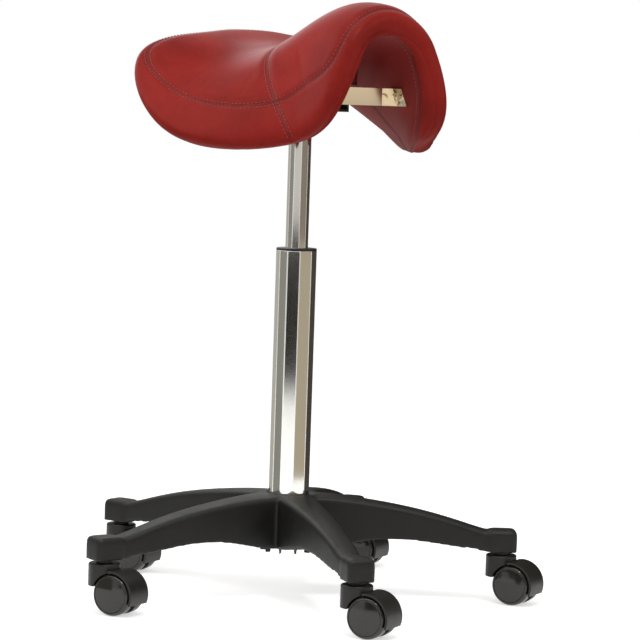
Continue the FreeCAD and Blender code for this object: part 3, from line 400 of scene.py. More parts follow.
def leather(name, colour, roughness, gloss=0.05, coat=0.015):
    """Finished leather: fine pebbled grain, cloudy colour and a half-gloss coat."""
    shade = Shader(name, Coat_Weight=coat, Coat_Roughness=0.25, Specular_IOR_Level=gloss)
    cloud = shade.noise(14.0, 3.0)
    fine = shade.noise(160.0, 2.0)
    dark = tint(colour, 0.78)
    light = tuple(min(1.0, c * 1.18 + 0.003) for c in colour)
    shade.set("Base Color", shade.mix(shade.limited(cloud + fine * 0.25, 0.35, 0.85), dark, light))
    shade.set("Roughness", shade.limited(cloud, 0.3, 0.7, roughness - 0.04, roughness + 0.06))
    pebbles = shade.limited(shade.cells(620.0), 0.0, 0.35)
    creases = shade.noise(75.0, 4.0, 0.6)
    low = shade.bump(pebbles, 0.10, 0.0004)
    shade.set("Normal", shade.bump(creases, 0.10, 0.0010, low))
    return shade.material


def thread(name, colour):
    """Waxed sewing thread: a fine twist along its length."""
    shade = Shader(name, Roughness=0.45, Specular_IOR_Level=0.5)
    twist = shade.noise(900.0, 2.0)
    shade.set("Base Color", shade.mix(twist, tint(colour, 0.6), colour))
    shade.set("Normal", shade.bump(twist, 0.5, 0.0003))
    return shade.material


def polished(name, colour, roughness=0.06):
    """Plated metal: bright, with faint long haze and fine polishing marks."""
    shade = Shader(name, Metallic=1.0)
    haze = shade.noise(9.0, 3.0)
    marks = shade.noise(420.0, 2.0)
    shade.set("Base Color", shade.mix(haze, tint(colour, 0.94), colour))
    shade.set("Roughness", shade.limited(haze + marks * 0.3, 0.4, 0.9, roughness, roughness + 0.05))
    return shade.material


def brushed(name, colour, roughness=0.38):
    """Zinc-plated or ground steel with a fine brushed grain."""
    shade = Shader(name, Metallic=1.0)
    grain = shade.noise(650.0, 3.0)
    cloud = shade.noise(30.0, 2.0)
    shade.set("Base Color", shade.mix(cloud, tint(colour, 0.8), colour))
    shade.set("Roughness", shade.limited(grain, 0.3, 0.7, roughness - 0.08, roughness + 0.1))
    shade.set("Normal", shade.bump(grain, 0.12, 0.0003))
    return shade.material


def moulded(name, colour, roughness, texture=0.3, gloss=0.4):
    """Moulded nylon: fine spark-eroded texture with slight flow marks and paler worn spots."""
    shade = Shader(name, Specular_IOR_Level=gloss)
    grain = shade.noise(900.0, 2.0)
    flow = shade.noise(22.0, 4.0, 0.6)
    worn = shade.limited(flow, 0.3, 0.75)
    shade.set("Base Color", shade.mix(worn, tint(colour, 0.75), tint(colour, 1.25)))
    shade.set("Roughness", shade.limited(flow, 0.3, 0.7, roughness - 0.05, roughness + 0.07))
    shade.set("Normal", shade.bump(grain, texture, 0.0003))
    return shade.material


def painted(name, colour):
    """Powder-coated steel with a slight orange peel."""
    shade = Shader(name, Roughness=0.42)
    peel = shade.noise(260.0, 2.0)
    cloud = shade.noise(40.0, 3.0)
    shade.set("Base Color", shade.mix(cloud, tint(colour, 0.8), tint(colour, 1.2)))
    shade.set("Normal", shade.bump(peel, 0.2, 0.0005))
    return shade.material


def foam_or_wood(name, colour, scale):
    """Plain inner material with a cloudy grain."""
    shade = Shader(name, Roughness=0.8)
    grain = shade.noise(scale, 4.0, 0.6)
    shade.set("Base Color", shade.mix(grain, tint(colour, 0.75), colour))
    shade.set("Normal", shade.bump(grain, 0.3, 0.0006))
    return shade.material


# Settings

def colour_of(name, description, value):
    return FloatVectorProperty(name=name, description=description, subtype="COLOR", default=value,
                               min=0, max=1)


def length_of(name, description, value):
    return FloatProperty(name=name, description=description, default=value, unit="LENGTH")


def angle_of(name, description, degrees):
    return FloatProperty(name=name, description=description, default=math.radians(degrees),
                         subtype="ANGLE")


class StoolLeather(bpy.types.PropertyGroup):
    colour: colour_of("Leather", "Colour of the cover", (0.225, 0.0115, 0.0080))
    lining: colour_of("Lining", "Colour of the underside", (0.195, 0.0130, 0.0105))
    roughness: FloatProperty(name="Roughness", description="Roughness of the leather", default=0.36,
                             min=0, max=1)
    pressure: FloatProperty(name="Filling", default=4.0, min=0,
                            description="Pressure that swells the panels between their seams")
    swell: length_of("Swell", "Most that a point of the cover moves out", 0.004)
    seam_depth: length_of("Seam depth", "How deep a seam pulls the cover in", 0.0022)
    seam_width: length_of("Seam width", "Half width of that pull", 0.0042)


class StoolStitching(bpy.types.PropertyGroup):
    pitch: length_of("Pitch", "Distance from stitch to stitch", 0.0052)
    length: length_of("Length", "Length of a stitch that shows", 0.0036)
    thickness: length_of("Thread", "Thickness of the thread", 0.0009)
    spread: length_of("Spread", "Distance of each row from the join", 0.0032)
    colour: colour_of("Thread colour", "Colour of the thread", (0.30, 0.060, 0.050))


class StoolHard(bpy.types.PropertyGroup):
    chrome: colour_of("Chrome", "Colour of the plated tubes", (0.80, 0.79, 0.755))
    nickel: colour_of("Nickel", "Colour of the bracket", (0.74, 0.66, 0.52))
    wheel: length_of("Wheel", "Diameter of a caster wheel", 0.050)
    wheel_width: length_of("Wheel width", "Width of a caster wheel", 0.018)
    nylon: colour_of("Base", "Colour of the base", (0.0085, 0.0082, 0.0074))
    caster: colour_of("Casters", "Colour of hoods and wheels", (0.0115, 0.0105, 0.0085))


class StoolStage(bpy.types.PropertyGroup):
    distance: length_of("Distance", "Camera to the column's axis", 3.5)
    height: length_of("Height", "Height of the camera", 0.617)
    azimuth: angle_of("Azimuth", "Camera's side, from the front towards the rider's left", -38.36)
    pitch: angle_of("Pitch", "Camera's look down", 4.45)
    roll: angle_of("Roll", "Camera's roll", -1.9)
    yaw: angle_of("Yaw", "Camera's aim past the axis", 0.52)
    lens: FloatProperty(name="Lens", description="Focal length in millimetres on a 36 mm frame",
                        default=159.83)
    world: FloatProperty(name="World", description="Strength of the light from all round",
                         default=0.5, min=0)


def settings(name):
    return getattr(bpy.context.scene, "stool_" + name)


# Saddle

GRID = 161                      # points along each side of the cover's grid
COARSE = 81                     # and of the grid that swells


def square_grid(count):
    """Grid over the saddle from a square: r = max(|u|, |v|), gathered by a sine near the rim.

    Each point slides along its ray from the square's edge onto the superellipse.
    """
    line = np.linspace(-1, 1, count)
    u, v = np.meshgrid(line, line, indexing="ij")
    reach = np.maximum(np.maximum(np.abs(u), np.abs(v)), 1e-9)
    quarter = np.clip((reach - ROUND_TURN) / (1 - ROUND_TURN), 0, 1)
    late = ROUND_START + (1 - ROUND_START) * np.sin(math.pi / 2 * quarter)
    r = np.where(reach < ROUND_TURN, reach * ROUND_START / ROUND_TURN, late)
    u, v = u / reach, v / reach
    power = np.where(u < 0, POWER_REAR, POWER_FRONT)
    k = np.maximum(np.abs(u) ** power + np.abs(v) ** power, 0.5) ** (-1 / power)
    return r * k * u, r * k * v


def closed_faces(count):
    """Quads of a top and an underside grid that share their rim, with the point order of both."""
    index = np.arange(count * count).reshape(count, count)
    inside = np.zeros((count, count), bool)
    inside[1:-1, 1:-1] = True
    under = index.copy()
    under[inside] = count * count + np.arange(inside.sum())
    quads = grid_faces(count, count)
    return np.concatenate([quads, under.ravel()[quads][:, ::-1]]), inside


def seam_across(seam, tau):
    """s of a seam across the saddle: start + sweep * |tau| ** 1.5."""
    start, sweep = seam
    return start + sweep * np.abs(tau) ** 1.5


def seam_lines():
    """(s, tau) lines of the cover's seams, on the top: the border's ring and the one across."""
    tau = np.linspace(-1, 1, 900)
    s = seam_across(CROSS_SEAM, tau)
    inside = to_polar(s, tau)[0] < 0.999
    return {"border": ring_line(BORDER_SEAM, 1600), "cross": np.stack([s, tau], -1)[inside]}


def seam_points():
    return np.concatenate([pad_point(*line.T, ABOVE) for line in seam_lines().values()])


def ring_line(values, count):
    """(s, tau) line round the saddle, one point in each direction (cos, sin).

    A point in a direction lies at the ring's value times the rim's distance in that direction.
    """
    turn = np.linspace(-math.pi, math.pi, count, endpoint=False)
    ray = np.stack([np.cos(turn), np.sin(turn)], -1)
    share, phi = to_polar(*ray.T)
    return ray * (ring_value(values, phi) / share)[:, None]


def nearest(points, line, span=4000):
    """Distance from each point to the nearest point of a line, in blocks."""
    out = np.empty(len(points))
    for start in range(0, len(points), span):
        block = points[start:start + span]
        out[start:start + span] = np.sqrt(((block[:, None] - line[None]) ** 2).sum(-1).min(1))
    return out


def inflate(points, faces, held, pressure, frames=20):
    """Swell a closed shape like a tight cover, with some points held, and return where it ends."""
    obj = link("swelling", new_mesh("swelling", points, faces))
    obj.vertex_groups.new(name="held").add(np.flatnonzero(held).tolist(), 1.0, "REPLACE")
    cloth = obj.modifiers.new("pressure", "CLOTH")
    cloth.settings.use_pressure = True
    cloth.settings.uniform_pressure_force = pressure
    cloth.settings.effector_weights.gravity = 0
    cloth.settings.vertex_group_mass = "held"
    cloth.settings.quality = 4
    cloth.point_cache.frame_start = 1
    cloth.point_cache.frame_end = frames
    scene = bpy.context.scene
    for step in range(1, frames + 1):
        scene.frame_set(step)
    out = coordinates(obj.evaluated_get(bpy.context.evaluated_depsgraph_get()).data)
    scene.frame_set(1)
    bpy.data.objects.remove(obj)
    return out


def finer(values):
    """Grid values with one more row and column between each two, by halves."""
    for axis in (0, 1):
        values = np.moveaxis(values, axis, 0)
        out = np.empty((values.shape[0] * 2 - 1, *values.shape[1:]))
        out[::2] = values
        out[1::2] = (values[:-1] + values[1:]) / 2
        values = np.moveaxis(out, 0, axis)
    return values


def swelling(leather_settings):
    """How far the cover stands out at each point of the fine grid, on the top and the underside.

    It comes from a cloth run, with the seams and the underside within the lining's edge held.
    """
    s, tau = square_grid(COARSE)
    top, under = pad_point(s, tau, ABOVE), pad_point(s, tau, -BELOW)
    faces, inside = closed_faces(COARSE)
    points = np.concatenate([top.reshape(-1, 3), under[inside]])
    on_top = COARSE * COARSE
    r, phi = to_polar(s, tau)
    held = np.concatenate([nearest(points[:on_top], seam_points()) < 0.0035,
                           (r < ring_value(LINING_EDGE, phi))[inside]])
    moved = inflate(points, faces, held, leather_settings.pressure) - points
    upper = moved[:on_top].reshape(COARSE, COARSE, 3)
    lower = upper.copy()
    lower[inside] = moved[on_top:]
    out = []
    for shift, sign in ((upper, 1), (lower, -1)):
        outwards = (shift * layer_normal(s, tau) * sign).sum(-1)
        amount = np.linalg.norm(shift, axis=-1) * np.sign(outwards + 1e-12)
        out.append(finer(np.clip(amount, 0, leather_settings.swell)))
    return np.array(out)


def skin_normal(points):
    """Unit normal of a grid of points, from its two slopes."""
    return unit(np.cross(np.gradient(points, axis=0), np.gradient(points, axis=1)), 1e-12)


def ripple(points):
    """Faint unevenness of a stretched cover: a sum of sines across space, from -1 to 1."""
    x, y, z = points[..., 0], points[..., 1], points[..., 2]
    waves = [(61, 23, 47, 0.3), (37, 71, -29, 1.7), (-83, 41, 59, 2.9), (97, -67, 31, 4.1)]
    return sum(np.sin(a * x + b * y + c * z + d) for a, b, c, d in waves) / len(waves)


SINK = 0.0012                   # the cover starts this far inside the pad's skin


class Cover:
    """The leather cover as grids of points, with grooves where the seams run."""

    def __init__(self, leather_settings):
        self.s, self.tau = square_grid(GRID)
        self.r, self.phi = to_polar(self.s, self.tau)
        self.groove_depth = leather_settings.seam_depth
        self.groove_width = leather_settings.seam_width
        self.lines = seam_lines()
        stand = swelling(leather_settings)
        top, under = pad_point(self.s, self.tau, ABOVE), pad_point(self.s, self.tau, -BELOW)
        edge = thinning(self.r)[..., None]
        rim_out = (1 - edge) * self.rim_out()
        up = layer_normal(self.s, self.tau)
        outward = skin_normal(top)
        outward *= np.sign((outward * up).sum(-1, keepdims=True) + 0.2)
        gap = nearest(top.reshape(-1, 3), seam_points()).reshape(GRID, GRID)
        rise = stand[0] - SINK - self.groove(gap) + 0.0003 * ripple(top)
        self.top = top + unit(outward * edge + rim_out) * rise[..., None]
        inner = np.clip((ring_value(LINING_EDGE, self.phi) - self.r) / 0.03, 0, 1)
        fall = stand[1] * (1 - inner) - SINK - SINK * inner
        self.under = under + unit(-up * edge + rim_out) * fall[..., None]
        rim = np.ones((GRID, GRID), bool)
        rim[1:-1, 1:-1] = False
        self.under[rim] = self.top[rim]

    def rim_out(self):
        """Direction off the rim, along the middle layer: from a point inside to the rim point."""
        near = middle_layer(self.s * 0.97, self.tau * 0.97)
        return unit(middle_layer(self.s, self.tau) - near, 1e-9)

    def groove(self, gap):
        """Depth at a distance from a seam: a bell curve, with a slight swell beside it."""
        near = np.exp(-(gap / self.groove_width) ** 2)
        beside = np.exp(-((gap - 0.011) / 0.006) ** 2)
        return self.groove_depth * near - 0.0004 * beside

    def read(self, grid, line):
        """Points of a grid at places (s, tau), each the mean of the four grid points round it."""
        s, tau = line.T
        r = to_polar(s, tau)[0]
        quarter = np.arcsin(np.clip((r - ROUND_START) / (1 - ROUND_START), 0, 1)) / (math.pi / 2)
        late = ROUND_TURN + (1 - ROUND_TURN) * quarter
        reach = np.where(r < ROUND_START, r * ROUND_TURN / ROUND_START, late)
        largest = np.maximum(np.abs(s), np.abs(tau))
        u, v = s / largest * reach, tau / largest * reach
        u, v = (u + 1) / 2 * (GRID - 1), (v + 1) / 2 * (GRID - 1)
        i, j = np.clip(u.astype(int), 0, GRID - 2), np.clip(v.astype(int), 0, GRID - 2)
        a, b = (u - i)[:, None], (v - j)[:, None]
        low = grid[i, j] * (1 - b) + grid[i, j + 1] * b
        high = grid[i + 1, j] * (1 - b) + grid[i + 1, j + 1] * b
        return low * (1 - a) + high * a


def even_steps(path, pitch):
    """Points at even steps along a path of points, and the direction there."""
    gap = np.linalg.norm(np.diff(path, axis=0), axis=1)
    run = np.concatenate([[0], np.cumsum(gap)])
    count = max(int(run[-1] / pitch), 2)
    where = (np.arange(count) + 0.5) / count * run[-1]
    points, ahead, behind = (
        np.stack([np.interp(where + shift, run, path[:, k]) for k in range(3)], -1)
        for shift in (0, pitch * 0.3, -pitch * 0.3))
    return points, unit(ahead - behind, 1e-9)


def stitches(name, path, normal_path, sewing):
    """Row of stitches: each a short six-sided thread, arched, with its ends sunk in the leather.

    Along a stitch t runs from -1 to 1: thickness (1 - t^2)^0.4 and height 0.35 - 0.8 t^2 threads.
    """
    points, along = even_steps(path, sewing.pitch)
    up = even_steps_values(path, normal_path, points)
    side = unit(np.cross(up, along))
    t = np.array([-1, -0.8, -0.3, 0.3, 0.8, 1.0])
    angle = np.linspace(0, TAU, 6, endpoint=False)
    wide = sewing.thickness / 2 * np.maximum(1 - t ** 2, 0.02) ** 0.4
    rise = sewing.thickness * (0.35 - 0.8 * t ** 2)
    reach = t * sewing.length / 2
    centre = points[:, None] + along[:, None] * reach[:, None] + up[:, None] * rise[:, None]
    ring = side[:, None, None] * np.cos(angle)[:, None] + up[:, None, None] * np.sin(angle)[:, None]
    shape = centre[:, :, None] + ring * wide[:, None, None]
    first = np.arange(len(points)) * len(t) * len(angle)
    faces = grid_faces(len(t), len(angle), False, True)[None] + first[:, None, None]
    mesh = new_mesh(name, shape, faces.reshape(-1, 4))
    shade_smooth(mesh)
    return link(name, mesh)


def even_steps_values(path, values, points):
    """Values of the path's nearest point at each of some points."""
    gap = ((points[:, None] - path[None, ::4]) ** 2).sum(-1)
    return unit(values[::4][gap.argmin(1)])


def seam_piece(cover, normals, label, line, sewing, closed):
    """One seam: a dark strand at the bottom of its groove as painted shadow of the join, and a row of
    stitches on each side.
    """
    path, up = cover.read(cover.top, line), unit(cover.read(normals, line))
    side = np.cross(up, unit(np.gradient(path, axis=0)))
    # The join strand is painted shadow: a near-black tube in the seam_shadow finish along the groove's
    # bottom.
    join = tube_along("seam_%s_join" % label, path[::3] - up[::3] * 0.0001, 0.00045, 6, closed)
    pieces = [(join, material("seam_shadow"))]
    lift = cover.groove(np.zeros(1))[0] - cover.groove(np.array([sewing.spread]))[0]
    for row, name in ((-1, "near"), (1, "far")):
        offset = path + side * sewing.spread * row + up * lift
        pieces.append((stitches("seam_%s_%s" % (label, name), offset, up, sewing), material("thread")))
    for piece, finish in pieces:
        dress(piece, "saddle", "red_leather", finish)


def material(name):
    """A finish made by the materials operator."""
    return bpy.data.materials[name]


class STOOL_OT_finishes(bpy.types.Operator):
    """Make every finish, and give the carried-over pieces theirs"""
    bl_idname = "stool.finishes"
    bl_label = "Finishes"

    def execute(self, context):
        cover, hard, sewing = settings("leather"), settings("hard"), settings("stitching")
        leather("leather_cover", tuple(cover.colour), cover.roughness)
        leather("leather_lining", tuple(cover.lining), cover.roughness + 0.16, 0.12, 0.0)
        thread("thread", tuple(sewing.colour))
        # Near-black finish for the seam strands: painted shadow in the seams' grooves and folds.
        thread("seam_shadow", (0.012, 0.002, 0.002))
        polished("chrome", tuple(hard.chrome))
        polished("nickel", tuple(hard.nickel), 0.14)
        moulded("nylon_base", tuple(hard.nylon), 0.46, 0.3, 0.3)
        moulded("nylon_caster", tuple(hard.caster), 0.40, 0.2, 0.35)
        moulded("nylon_wheel", tint(hard.caster, 1.4), 0.09, 0.03, 0.5)
        moulded("nylon_black", (0.010, 0.010, 0.010), 0.42)
        moulded("acetal", (0.72, 0.71, 0.66), 0.4)
        moulded("buffer", (0.015, 0.015, 0.015), 0.75)
        brushed("steel", (0.58, 0.58, 0.60))
        brushed("ball_steel", (0.75, 0.75, 0.76), 0.12)
        painted("black_paint", (0.016, 0.016, 0.017))
        foam_or_wood("board", (0.52, 0.36, 0.20), 60.0)
        finishes = {
            "hood_nylon": "nylon_caster", "wheel_nylon": "nylon_wheel", "axle_steel": "steel",
            "base_nylon": "nylon_base", "socket_steel": "steel", "bearing_steel": "ball_steel",
            "tube_chrome": "chrome", "cylinder_chrome": "chrome", "bush_plastic": "acetal",
            "collar_plastic": "nylon_black", "buffer_rubber": "buffer", "valve_steel": "steel",
            "head_paint": "black_paint", "lever_chrome": "chrome", "pin_steel": "steel",
            "grip_plastic": "nylon_black", "lock_paint": "black_paint", "board_wood": "board",
            "bracket_nickel": "nickel", "lining_fabric": "leather_lining",
        }
        special = {"spacer_block": "leather_lining", "bracket_screws": "nickel"}
        for part in frame["record"]["subparts"]:
            finish = special.get(part["node"], finishes.get(part["material_slot"]))
            node = NODES[part["node"]]
            if finish:
                for place in node.material_slots:
                    place.material = material(finish)
        return {"FINISHED"}


class STOOL_OT_saddle(bpy.types.Operator):
    """Build the leather saddle: cover, lining, seams and stitching"""
    bl_idname = "stool.saddle"
    bl_label = "Saddle"

    def execute(self, context):
        sewing = settings("stitching")
        cover = Cover(settings("leather"))
        faces, inside = closed_faces(GRID)
        points = np.concatenate([cover.top.reshape(-1, 3), cover.under[inside]])
        pad = add_object("saddle_cover", points, faces)
        dress(pad, "saddle", "red_leather", material("leather_cover"), "foam_pad", "cover_top_front",
              "cover_top_rear", "cover_border_front", "cover_border_rear")
        normals = skin_normal(cover.top)
        normals *= np.sign((normals * layer_normal(cover.s, cover.tau)).sum(-1, keepdims=True))
        for label, line in cover.lines.items():
            seam_piece(cover, normals, label, line, sewing, label == "border")
        self.lining(sewing)
        return {"FINISHED"}

    def lining(self, sewing):
        """Lining on the underside and the cover's turned-in hem round it: two thin closed shells.

        Each is a ring of points from one line to another, low and high side. The low side is
        drawn in by a bell curve along the seam between the two and along the seam across.
        """
        count = 361
        seam, edge = ring_line(INNER_SEAM, count), ring_line(LINING_EDGE, count)
        for name, start, end, rows, slot, finish in (
                ("saddle_lining", seam * 0.02, seam, 60, "lining_fabric", "leather_lining"),
                ("saddle_hem", seam, edge, 12, "red_leather", "leather_cover")):
            share = np.linspace(0, 1, rows)[:, None, None]
            s, tau = np.moveaxis(start + (end - start) * share, -1, 0)
            low = self.underside(s, tau, seam)
            high = pad_point(s, tau, -BELOW) + layer_normal(s, tau) * 0.0045
            faces = grid_faces(rows * 2, count, True, True)
            piece = add_object(name, np.concatenate([low, high[::-1]]), faces)
            stands_for = ["under_lining"] if name == "saddle_lining" else []
            dress(piece, "saddle", slot, material(finish), *stands_for)
        tau = np.linspace(-0.85, 0.85, 600)
        across = np.stack([seam_across(LINING_SEAM, tau), tau], -1)
        # Dark tubes along the lining's seams, in the seam_shadow finish: painted shadow in their folds.
        for name, line, closed in (("across", across, False), ("round", seam, True)):
            path = self.underside(*line.T, seam)
            dress(tube_along("seam_lining_%s" % name, path[::2], 0.0005, 6, closed), "saddle",
                  "lining_fabric", material("seam_shadow"))
        inner = ring_line([value - ROW_INSIDE for value in INNER_SEAM], 1200)
        down = -layer_normal(*inner.T)
        dress(stitches("seam_lining_row", self.underside(*inner.T, seam), down, sewing), "saddle",
              "lining_fabric", material("thread"))

    def underside(self, s, tau, seam):
        """Low side of the lining: the pad's underside, drawn in along its seams by bell curves."""
        ahead = (s - seam_across(LINING_SEAM, tau)) * (FRONT_AHEAD - REAR_AHEAD) / 2
        fold = np.exp(-(ahead / 0.0035) ** 2)
        base = pad_point(s, tau, -BELOW)
        gap = nearest(base.reshape(-1, 3), pad_point(*seam.T, -BELOW)).reshape(s.shape)
        hem = np.exp(-(gap / 0.0035) ** 2)
        out = 0.0008 - 0.0012 * np.maximum(fold, hem)
        return base - layer_normal(s, tau) * out[..., None]


TUBE_SHOWING = 0.301            # outer tube above the hub
PLUG, VALVE_BORE = 0.026, 0.0031        # the cylinder's solid upper end and the bore through it


class STOOL_OT_lift(bpy.types.Operator):
    """Build the chromed tubes of the lift and the collar between them"""
    bl_idname = "stool.lift"
    bl_label = "Lift"

    def execute(self, context):
        low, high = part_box("outer_tube")
        wall, edge = 0.0015, 0.0006
        outer, top = (high[0] - low[0]) / 2, high[2]
        inner, hub_top = outer - wall, top - TUBE_SHOWING
        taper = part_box("tube_end_plate")[1][0] + wall
        self.part("lift_outer_tube", [
            (taper - wall, low[2], 0), (taper, low[2], 0), (outer, hub_top, 0), (outer, top, edge),
            (inner, top, edge), (inner, hub_top, 0)], "base", "tube_chrome", "chrome", "outer_tube")
        low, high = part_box("gas_cylinder")
        radius, cone, plug = (high[0] - low[0]) / 2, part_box("column_head")[0][2], high[2] - PLUG
        self.part("lift_cylinder", [
            (radius - 0.002, low[2], 0), (radius, low[2], edge), (radius, cone, 0),
            (radius - 0.00045, high[2], edge), (VALVE_BORE, high[2], 0), (VALVE_BORE, plug, 0),
            (radius - 0.002, plug, 0)], "column", "cylinder_chrome", "chrome", "gas_cylinder")
        low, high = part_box("collar_ring")
        bore = radius + 0.0003
        self.part("lift_collar", [
            (bore, low[2], 0), (inner, low[2], 0), (inner, top, 0), (outer, top, 0),
            (outer, high[2], 0.0012), (bore, high[2], 0.0008)],
            "base", "collar_plastic", "nylon_black", "collar_ring")
        return {"FINISHED"}

    def part(self, name, corners, body, slot, finish, node):
        dress(turned(name, corners, closed=True), body, slot, material(finish), node)


WHEEL_AXLE_DEG = 22.994         # all axles, from +X
BLOCK_REACH, BLOCK_BOTTOM = 0.215, 0.066        # the arms' end blocks
VOXEL, BASE_TRIANGLES = 0.0016, 150000


class STOOL_OT_base(bpy.types.Operator):
    """Soften the moulded base and build the domed caster wheels"""
    bl_idname = "stool.base"
    bl_label = "Base and wheels"

    def execute(self, context):
        self.star()
        turn = math.radians(WHEEL_AXLE_DEG)
        along = np.array([math.cos(turn), math.sin(turn), 0])
        for k in range(1, 6):
            middle = np.mean(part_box("caster_%d_axle" % k), axis=0)
            for side in "ab":
                node = "caster_%d_wheel_%s" % (k, side)
                centre = np.mean(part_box(node), axis=0)
                out = along * np.sign(np.dot(centre - middle, along))
                dress(self.wheel("wheel_%d_%s" % (k, side), centre, out), "caster_%d_%s" % (k, side),
                      "wheel_nylon", material("nylon_wheel"), node)
        return {"FINISHED"}

    def wheel(self, name, centre, out):
        """Wheel: a tread with a rounded shoulder, a fine step, and a face domed by a parabola."""
        radius, half = settings("hard").wheel / 2, settings("hard").wheel_width / 2
        step = radius - 0.0042
        face = np.linspace(step - 0.0005, 0.0, 9)
        dome = [(r, half - 0.0020 * (r / step) ** 2, 0) for r in face]
        corners = [(0, -half, 0), (radius - 0.0012, -half, 0), (radius, -half + 0.0012, 0.0010),
                   (radius, half - 0.0058, 0.0035), (radius - 0.0022, half - 0.0020, 0.0016),
                   (step + 0.0002, half - 0.0018, 0.0004), (step, half - 0.0026, 0)] + dome
        return turned(name, corners, tuple(centre), tuple(out), 96, sharp_deg=50)

    def star(self):
        """Base: the frame's star with its edges rounded, most at the five end blocks."""
        mesh = NODES["base_star"].data.copy()
        merge(mesh, 1e-5, False)
        obj = link("base_moulding", mesh)
        voxels = obj.modifiers.new("finer", "REMESH")
        voxels.mode, voxels.voxel_size, voxels.use_smooth_shade = "VOXEL", VOXEL, True
        self.apply(obj)
        points = coordinates(obj.data)
        reach = np.linalg.norm(points[:, :2], axis=1)
        block = np.clip((reach - BLOCK_REACH) / 0.02, 0, 1) * (points[:, 2] > BLOCK_BOTTOM)
        group = obj.vertex_groups.new(name="block")
        group.add(np.flatnonzero(block > 0.3).tolist(), 1.0, "REPLACE")
        for label, rounds, chosen in (("edges", 9, ""), ("blocks", 28, "block")):
            smooth = obj.modifiers.new(label, "SMOOTH")
            smooth.factor, smooth.iterations, smooth.vertex_group = 0.5, rounds, chosen
        fewer = obj.modifiers.new("fewer", "DECIMATE")
        fewer.ratio = min(1.0, BASE_TRIANGLES / (2 * len(obj.data.polygons)))
        self.apply(obj)
        shade_smooth(obj.data)
        dress(obj, "base", "base_nylon", material("nylon_base"), "base_star")

    def apply(self, obj):
        """Keep what the modifiers make as the object's own mesh."""
        shape = obj.evaluated_get(bpy.context.evaluated_depsgraph_get())
        mesh = bpy.data.meshes.new_from_object(shape)
        obj.modifiers.clear()
        obj.data = mesh


